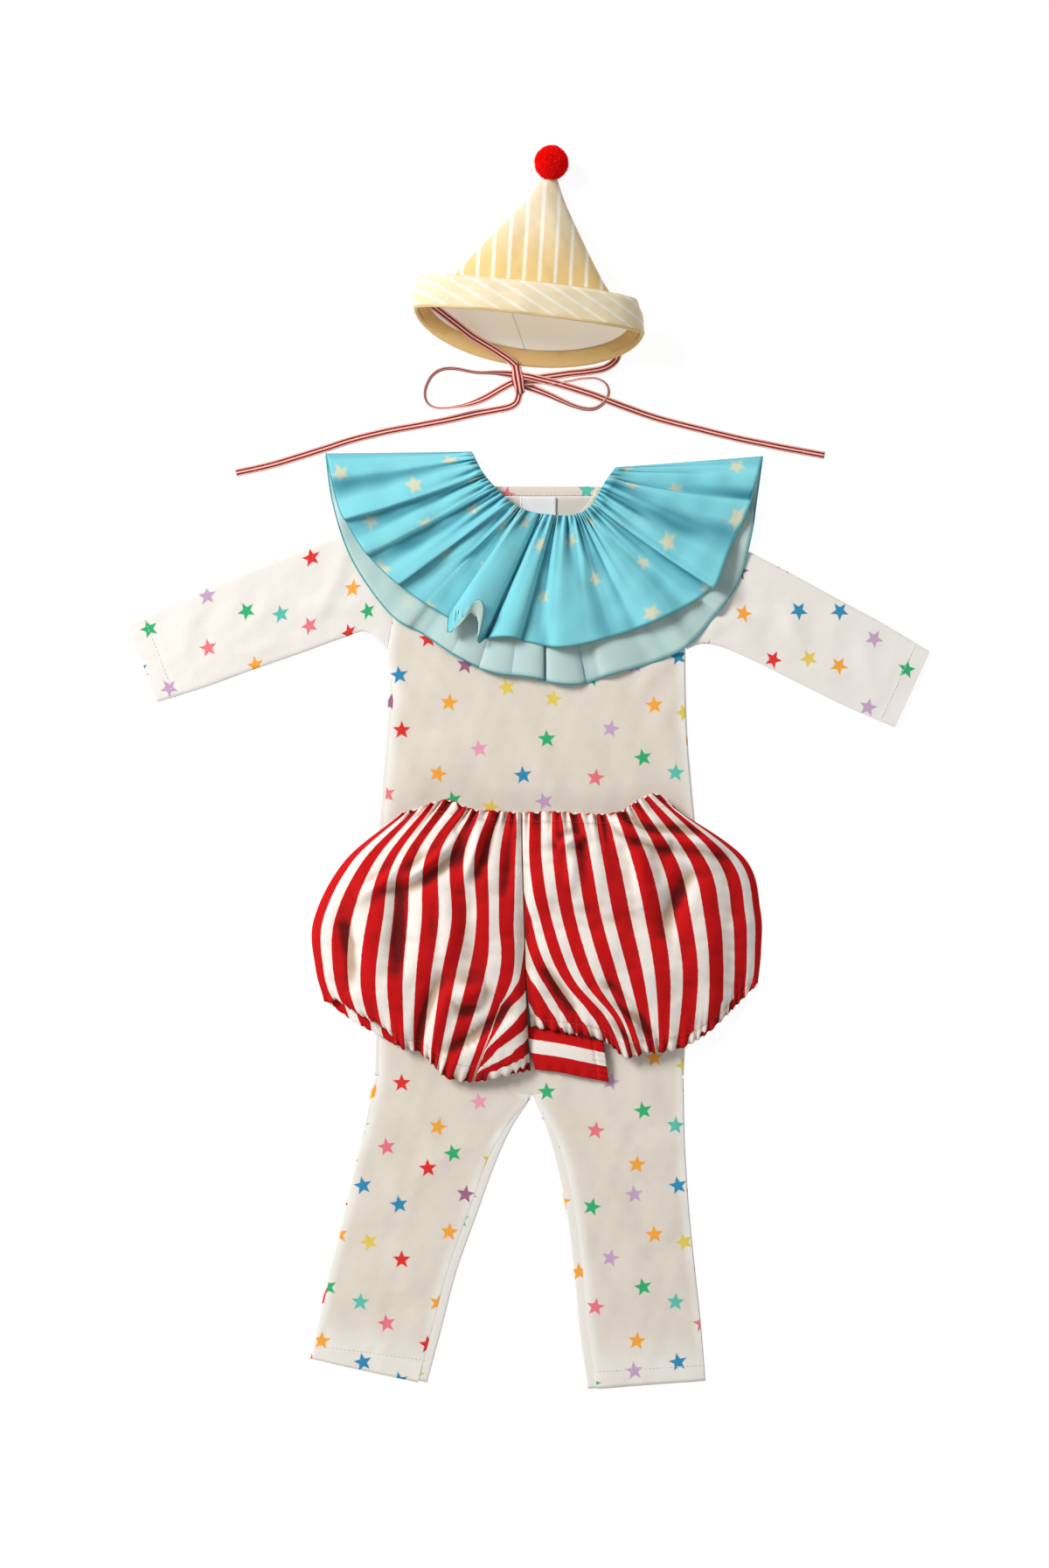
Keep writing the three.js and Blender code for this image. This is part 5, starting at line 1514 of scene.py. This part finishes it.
def bloomerPanel(name, table, countAt, front, side):
    last = len(table) - 1
    columns, rows = bloomers["frontGrid" if front else "backGrid"]
    r = np.linspace(0, last, columns)
    v = np.linspace(0, 1, rows)
    stops = np.array([[row[key] for key in grainStops] for row in table], float)
    along = splineRow(np.linspace(0, 1, 5), stops.transpose(1, 0, 2), v)
    plan = splineRow(np.arange(last + 1), along.transpose(1, 0, 2), r).transpose(1, 0, 2)
    x, y = plan[..., 0].copy(), plan[..., 1].copy()
    fromSide = (r / last if side == "left" else 1 - r / last)[None, :]
    outline = x[:, :1] if side == "left" else x[:, -1:]
    outlineY = y[:, :1] if side == "left" else y[:, -1:]
    seamX = x[:, -1:] if side == "left" else x[:, :1]
    steps = np.hypot(np.diff(x, axis=0), np.diff(y, axis=0))
    fromWaist = np.concatenate([np.zeros((1, columns)), np.cumsum(steps, axis=0)])
    fromHem = fromWaist[-1:] - fromWaist
    fromOutline = np.hypot(x - outline, y - outlineY)
    rest = bloomerRest(x)
    count = countAt(x, y) + (0 if front else bloomers["backStripeShift"])
    acrossWaist = np.concatenate([[0], np.cumsum(np.hypot(np.diff(x[0]), np.diff(y[0])))])
    acrossHem = np.concatenate([[0], np.cumsum(np.hypot(np.diff(x[-1]), np.diff(y[-1])))])
    turn = 2 * np.pi / bloomers["pucker"]
    waistWave = np.sin(acrossWaist * turn + 1.6 * np.sin(acrossWaist * 0.21) + (0 if front else 2))
    hemWave = np.sin(acrossHem * turn + 1.6 * np.sin(acrossHem * 0.17 + 1) + (0 if front else 2))
    waistReach = 9 + 7 * (0.5 + 0.5 * np.sin(acrossWaist * 0.33 + 1))
    pucker = waistWave * np.exp(-fromWaist / waistReach) + 0.9 * hemWave * np.exp(-fromHem / 8)
    wide = np.sin(acrossWaist * turn * 0.31 + 0.8)[None, :] * np.exp(-fromWaist / 30) * 1.5
    groove = bell(fromWaist - bloomers["casing"], 1.4) + bell(fromHem - bloomers["casing"], 1.4)
    y = y + 0.8 * waistWave * np.exp(-fromWaist / 3.5) - 0.7 * hemWave * np.exp(-fromHem / 3.5)
    count = count + 0.12 * waistWave * np.exp(-fromWaist / 7) - 0.12 * hemWave * np.exp(-fromHem / 7)
    if front:
        dome = np.sin(np.pi * (0.02 + 0.73 * fromSide)) ** 0.55
        swell = np.sin(np.pi * np.clip(0.06 + 0.9 * v, 0, 1))[:, None] ** 0.6
        gape = bloomers["gape"] * (1 - smooth(0, 0.3, v))[:, None] * np.sin(np.pi * (0.1 + 0.8 * fromSide))
        edge = np.clip(fromOutline / bloomers["edgeRoll"], 0, 1)
        roll = np.sqrt(1 - (1 - edge) ** 2)
        valley = 3.0 * bell(x - seamX, 5.5) * smooth(0, 20, fromWaist)
        body = gape + bloomers["puff"] * dome * swell
        folds = creases(x, y, bloomerCreases[side]) + 0.7 * ripples(x, y, 34, 41)
        folds = (folds + 0.2 * ripples(x, y, 12, 42)) * smooth(2, 18, fromOutline)
        lowest = rest + bloomers["clear"] + 0.9
        z = lowest + body * roll + folds - valley + bloomers["puckerHeight"] * (pucker + 0.6 * wide)
        z = np.maximum(z - 0.6 * groove, lowest)
        if side == "left":  # the back's casing shows past the front's at the outer hem
            raised = bloomers["hemRaise"] * smooth(0.1, 0.5, r) * smooth(3.1, 2.4, r)
            y = y + raised[None, :] * np.exp(-fromHem / 9)
    else:
        z = rest + 0.7 + 0.45 * (pucker * 0.7 + 0.7)
    points = np.stack([x, y, z], axis=-1)
    faces = gridFaces(rows, columns)
    if not front:
        faces = faces[:, ::-1]
    metres = np.stack([x, y], axis=-1).reshape(-1, 2) * mm
    # painted shade for the stripe cloth: the hollows among the folds and between the puckers
    deep = hollow(z, np.ptp(x) / columns, 15) + 0.8 * hollow(z.T, 200 / rows, 15).T
    deep = deep * smooth(4, 22, fromOutline)
    valley = deep / 1.5 + np.clip(-pucker - 0.5 * wide, 0, 1) * 0.15 if front else 0 * z
    layers = {"stripe": together(count, v[:, None]), "fold": together(np.clip(valley, 0, 1), 0.0)}
    piece = makeMesh(name, points, faces, uv=metres, layers=layers)
    dress(piece, cloths["stripes"])
    waistRow = int(np.argmin(np.abs(fromWaist.mean(axis=1) - bloomers["casing"])))
    hemRow = int(np.argmin(np.abs(fromHem.mean(axis=1) - bloomers["casing"])))
    lines = [points[waistRow, 2:-2] + [0, 0, 0.2], points[hemRow, 2:-2] + [0, 0, 0.2]]
    return thicken(piece, bloomers["wall"]), lines


leftCount = stripeMap(leftStripes, True)
rightCount = stripeMap(rightStripes, False)
backLeft, _ = bloomerPanel("bloomersBackLeft", leftGrain, leftCount, False, "left")
backRight, _ = bloomerPanel("bloomersBackRight", rightGrain, rightCount, False, "right")
frontLeft, leftCasings = bloomerPanel("bloomersFrontLeft", leftGrain, leftCount, True, "left")
frontRight, rightCasings = bloomerPanel("bloomersFrontRight", rightGrain, rightCount, True, "right")

innerLeg = {
    "seam": 0.86,  # where its stitched seam runs, as a share of its width
    "top": [(-2.8, -205.8), (11.2, -208.3), (32.2, -211.6), (60.2, -218)],
    "bottom": [(5.6, -240.8), (25.2, -242.9), (42, -246.5), (64.5, -250.8)],
}


def innerLegPiece():
    # the back's inner corner, turned up over the crotch
    across, down = 66, 34
    top, bottom = curveThrough(innerLeg["top"], across), curveThrough(innerLeg["bottom"], across)
    t = np.linspace(0, 1, down)[:, None]
    plan = top[None] * (1 - t[..., None]) + bottom[None] * t[..., None]
    u = np.linspace(0, 1, across)[None, :]
    puff = np.sin(np.pi * np.clip(0.12 + 0.84 * t, 0, 1)) ** 0.6
    gathers = 0.9 * np.sin(t * 44) * smooth(0.72, 1.0, u) + 0.5 * np.sin(u * 34 + 3 * t) * smooth(0.6, 1.0, t)
    z = 5.6 + 1.0 + 6.4 * puff * np.sin(np.pi * (0.08 + 0.84 * u)) ** 0.3 + gathers
    z = z - 0.8 * bell(u - innerLeg["seam"], 0.02)
    points = np.concatenate([plan, z[..., None]], axis=-1)
    stripe = together(t * 1.35 - 0.1, u)
    layers = {"stripe": stripe, "fold": np.zeros_like(stripe)}
    piece = makeMesh("bloomersInnerRight", points, gridFaces(down, across), uv=plan * mm, layers=layers)
    dress(piece, cloths["stripes"])
    stitchColumn = int(innerLeg["seam"] * across)
    return thicken(piece, bloomers["wall"]), points[2:-2, stitchColumn] + [0, 0, 0.25]


innerRight, innerLine = innerLegPiece()
for piece, node in (
    (backLeft, "bloomers_back_left"), (backRight, "bloomers_back_right"), (frontLeft, "bloomers_front_left"),
    (frontRight, "bloomers_front_right"), (innerRight, "bloomers_inner_right"),
):
    wear(piece, "stripe_cotton", node)
casingLines = [*leftCasings, *rightCasings, innerLine]
wear(sew("casingStitches", casingLines, cloths["redThread"], 1.7, 1.3, 0.13), "stripe_cotton")
print("bloomers puffed")

# the hat: sections from the mouth to the tip; the mouth's lower half reaches out by sag
hat = {
    "around": 150, "crownWall": 1.0, "brimWall": 1.0, "liningWall": 0.7, "roll": 1.7, "rolledIn": 8.5,
    "stripe": 12.25, "lean": 0.055, "diagonal": 17.0, "diagonalSlope": 0.62, "brimRows": 26, "innerRows": 5,
    "cuffStep": 12.2, "plainBelow": 1.6, "liningGap": 2.2,
}
hatSections = rowsOf("x y halfWidth height sag turn rest", [
    (0.7, 353, 87.5, 66, 27, -6.5, 1.7),
    (1.5, 371, 72, 59, 20, -6, 1.7),
    (2.4, 386, 59, 51, 14, -5, 1.7),
    (5.5, 410, 43, 40, 7, -4, 0.4),
    (9.8, 434, 27, 28, 3, -2, 0.3),
    (14, 452, 15, 18, 1, 0, 0.3),
    (18.2, 471.5, 4.6, 9, 0, 0, 3.6),
])
cuffSections = rowsOf("x y halfWidth height sag turn rest", [
    (0.7, 352.5, 91.5, 70, 30, -6.5, 0),
    (0.3, 365, 91, 73, 23, -6.3, 0),
    (-0.2, 377, 87, 74, 14, -6, 0),
])
hatCreases = rowsOf("x0 y0 x1 y1 width height bend", [
    (-46, 392, -10, 452, 5, 0.8, -3),
    (28, 392, 22, 446, 6, 0.9, 3),
    (-14, 386, 6, 440, 7, -0.7, 2),
])


def hatRings(sections, at, inset, forward=None):
    # rings of points at positions along a table of sections, each set in by inset
    row = sectionsAt(sections, at)
    inset = np.broadcast_to(np.asarray(inset, float), (len(at),))[:, None]
    angle = np.linspace(0, 2 * np.pi, hat["around"], endpoint=False)[None, :]
    turn = np.radians(row["turn"])
    half = row["height"] / 2
    sine = np.sin(angle)
    reach = (row["halfWidth"] - inset) * np.cos(angle)
    rise = (half - inset) * np.sign(sine) * np.abs(sine) ** np.where(sine < 0, 0.75, 0.95)
    sag = np.where(sine < 0, row["sag"] * np.abs(sine) ** 1.2, 0)
    if forward is not None:
        sag = sag + forward[:, None]
    x = row["x"] + reach * np.cos(turn) + sag * np.sin(turn)
    y = row["y"] + reach * np.sin(turn) - sag * np.cos(turn)
    return np.stack([x, y, row["rest"] + half + rise], axis=-1), angle


def pushOut(points, amount):
    # moves ring points straight out of the surface, in plan and height
    along = np.gradient(points, axis=0)
    around = np.roll(points, -1, axis=1) - np.roll(points, 1, axis=1)
    return points + unit(np.cross(along, around)) * amount[..., None]


def hatPiece(name, points, cloth, wall, stripe, rolled, flip=False):
    rows, around = points.shape[:2]
    faces = gridFaces(rows, around, wrap=True)
    if flip:
        faces = faces[:, ::-1]
    girth = np.linspace(0, 1, around + 1)
    run = runAlong(points.mean(axis=1))
    # maps are given for each face corner, so that the last strip closes properly
    i, j = np.meshgrid(np.arange(rows - 1), np.arange(around), indexing="ij")
    corners = [(i, j), (i + 1, j), (i + 1, j + 1), (i, j + 1)]
    if flip:
        corners = corners[::-1]
    size = 2.6 * np.ptp(points[..., 0])
    uv = np.stack([together(girth[b] * size, run[a]) for a, b in corners], axis=2)
    lines = np.stack([together(stripe[a, b % around], rolled[a] * 1.0) for a, b in corners], axis=2)
    piece = makeMesh(name, points, faces, uv=uv * mm, layers={"stripe": lines})
    dress(piece, cloth)
    return thicken(piece, wall)


def hatCrown():
    at = np.linspace(0, 6, 96)
    points, angle = hatRings(hatSections, at, 0)
    x, y = points[..., 0], points[..., 1]
    soft = creases(x, y, hatCreases) + 0.5 * ripples(x, y, 40, 51) + 0.15 * ripples(x, y, 12, 52)
    points = pushOut(points, soft * smooth(0, 1, np.abs(np.sin(angle))) * (at < 5.8)[:, None])
    stripe = (x - hat["lean"] * (y - 400)) / hat["stripe"] + 0.2 + np.where(np.sin(angle) < 0, 0.37, 0)
    return hatPiece("hatCrown", points, cloths["hatCrown"], hat["crownWall"], stripe, at < hat["plainBelow"])


def hatBrim():
    roll = np.linspace(0, np.pi, 9)
    inner = np.linspace(0, hat["rolledIn"], hat["innerRows"] + 1)[1:]
    outer, rolledIn = np.zeros(hat["brimRows"]), np.zeros(hat["innerRows"])
    at = np.concatenate([np.linspace(2, 0, len(outer)), np.zeros(len(roll) - 1), inner / hat["cuffStep"]])
    inset = np.concatenate([outer, hat["roll"] * (1 - np.cos(roll[1:])), rolledIn + 2 * hat["roll"]])
    forward = np.concatenate([outer, hat["roll"] * np.sin(roll[1:]), rolledIn])
    points, angle = hatRings(cuffSections, at, inset, forward)
    x, y = points[..., 0], points[..., 1]
    soft = 0.55 * ripples(x, y, 36, 55) + 0.2 * ripples(x, y, 11, 56)
    points = pushOut(points, -soft * (np.arange(len(at)) < len(outer))[:, None])
    # the cuff's free edge draws down onto the crown
    back = smooth(2.0, 1.72, at)[:, None]
    points[..., 2] -= (1 - back) * 3.2 * np.clip(np.sin(angle), 0, 1) ** 0.5
    stripe = (x + (y - 352) / hat["diagonalSlope"]) / hat["diagonal"]
    # the rolled rim has no lines and is painted a darker amber, painted shade
    plain = np.arange(len(at)) > len(outer) - 2
    return hatPiece("hatBrim", points, cloths["hatBrim"], hat["brimWall"], stripe, plain, True)


def hatLining():
    at = np.linspace(0.32, 4, 60)
    points, _ = hatRings(hatSections, at, hat["liningGap"])
    x, y = points[..., 0], points[..., 1]
    # one seam runs up the lining
    seam = bell(x - (-8 - 0.35 * (y - 350)), 1.3)
    points = pushOut(points, 0.25 * ripples(x, y, 30, 58) - 0.7 * seam)
    return hatPiece("hatLining", points, cloths["lining"], hat["liningWall"], x * 0, at * 0)


crown = wear(hatCrown(), "yellow_cotton", "hat_crown")
brim = wear(hatBrim(), "yellow_cotton", "hat_brim")
lining = wear(hatLining(), "cream_lining", "hat_lining")
print("hat shaped")

pompom = {
    "x": 18.6, "y": 481.2, "z": 13.6, "radius": 12.0, "fibres": 5200, "fibreLength": 1.9, "fibreWidth": 0.34,
}


def fibreTree():
    # one short fibre at each scattered point of a ball
    numbers = {"Fibre Length": 0.002, "Fibre Width": 0.0003, "Density": 1000.0}
    tree, entry, leave = newTree("pompomFibres", "Ball", numbers, "Fibre", "Pompom")
    nodes, links = tree.nodes, tree.links
    scatter = nodes.new("GeometryNodeDistributePointsOnFaces")
    scatter.inputs["Seed"].default_value = 5
    spike = nodes.new("GeometryNodeMeshCone")
    spike.inputs["Vertices"].default_value = 4
    spike.inputs["Radius Top"].default_value = 0.00008
    place = nodes.new("GeometryNodeInstanceOnPoints")
    grow = nodes.new("FunctionNodeRandomValue")
    grow.data_type = "FLOAT"
    grow.inputs[2].default_value = 0.6
    grow.inputs[3].default_value = 1.15
    grow.inputs["Seed"].default_value = 9
    joined = nodes.new("GeometryNodeJoinGeometry")
    links.new(entry.outputs["Ball"], scatter.inputs["Mesh"])
    links.new(entry.outputs["Density"], scatter.inputs["Density"])
    links.new(entry.outputs["Fibre Length"], spike.inputs["Depth"])
    links.new(entry.outputs["Fibre Width"], spike.inputs["Radius Bottom"])
    links.new(scatter.outputs["Points"], place.inputs["Points"])
    links.new(scatter.outputs["Rotation"], place.inputs["Rotation"])
    links.new(spike.outputs["Mesh"], place.inputs["Instance"])
    links.new(grow.outputs[1], place.inputs["Scale"])
    links.new(place.outputs[0], joined.inputs[0])
    links.new(entry.outputs["Ball"], joined.inputs[0])
    return endTree(tree, joined.outputs[0], entry.outputs["Fibre"], leave)


def makePompom():
    rows, around = 40, 72
    tilt = np.linspace(0.02, np.pi - 0.02, rows)[:, None]
    turn = np.linspace(0, 2 * np.pi, around, endpoint=False)[None, :]
    ball = together(np.sin(tilt) * np.cos(turn), np.sin(tilt) * np.sin(turn), np.cos(tilt))
    bx, by, bz = ball[..., 0], ball[..., 1], ball[..., 2]
    tufts = 1 + 0.022 * ripples(bx * 10 + bz * 7, by * 10 - bz * 5, 5, 61)
    points = ball * (pompom["radius"] * tufts[..., None]) + [pompom["x"], pompom["y"], pompom["z"]]
    faces = gridFaces(rows, around, wrap=True)
    piece = makeMesh("hatPompom", points, faces, uv=np.zeros((rows * around, 2)))
    area = 4 * np.pi * (pompom["radius"] * mm) ** 2
    values = {
        "Fibre Length": pompom["fibreLength"] * mm, "Fibre Width": pompom["fibreWidth"] * mm,
        "Density": pompom["fibres"] / area, "Fibre": cloths["pompom"],
    }
    return runTree(piece, "fibres", fibreTree(), values)


pompomPiece = wear(makePompom(), "red_pompom", "hat_pompom")
print("pompom fluffed")
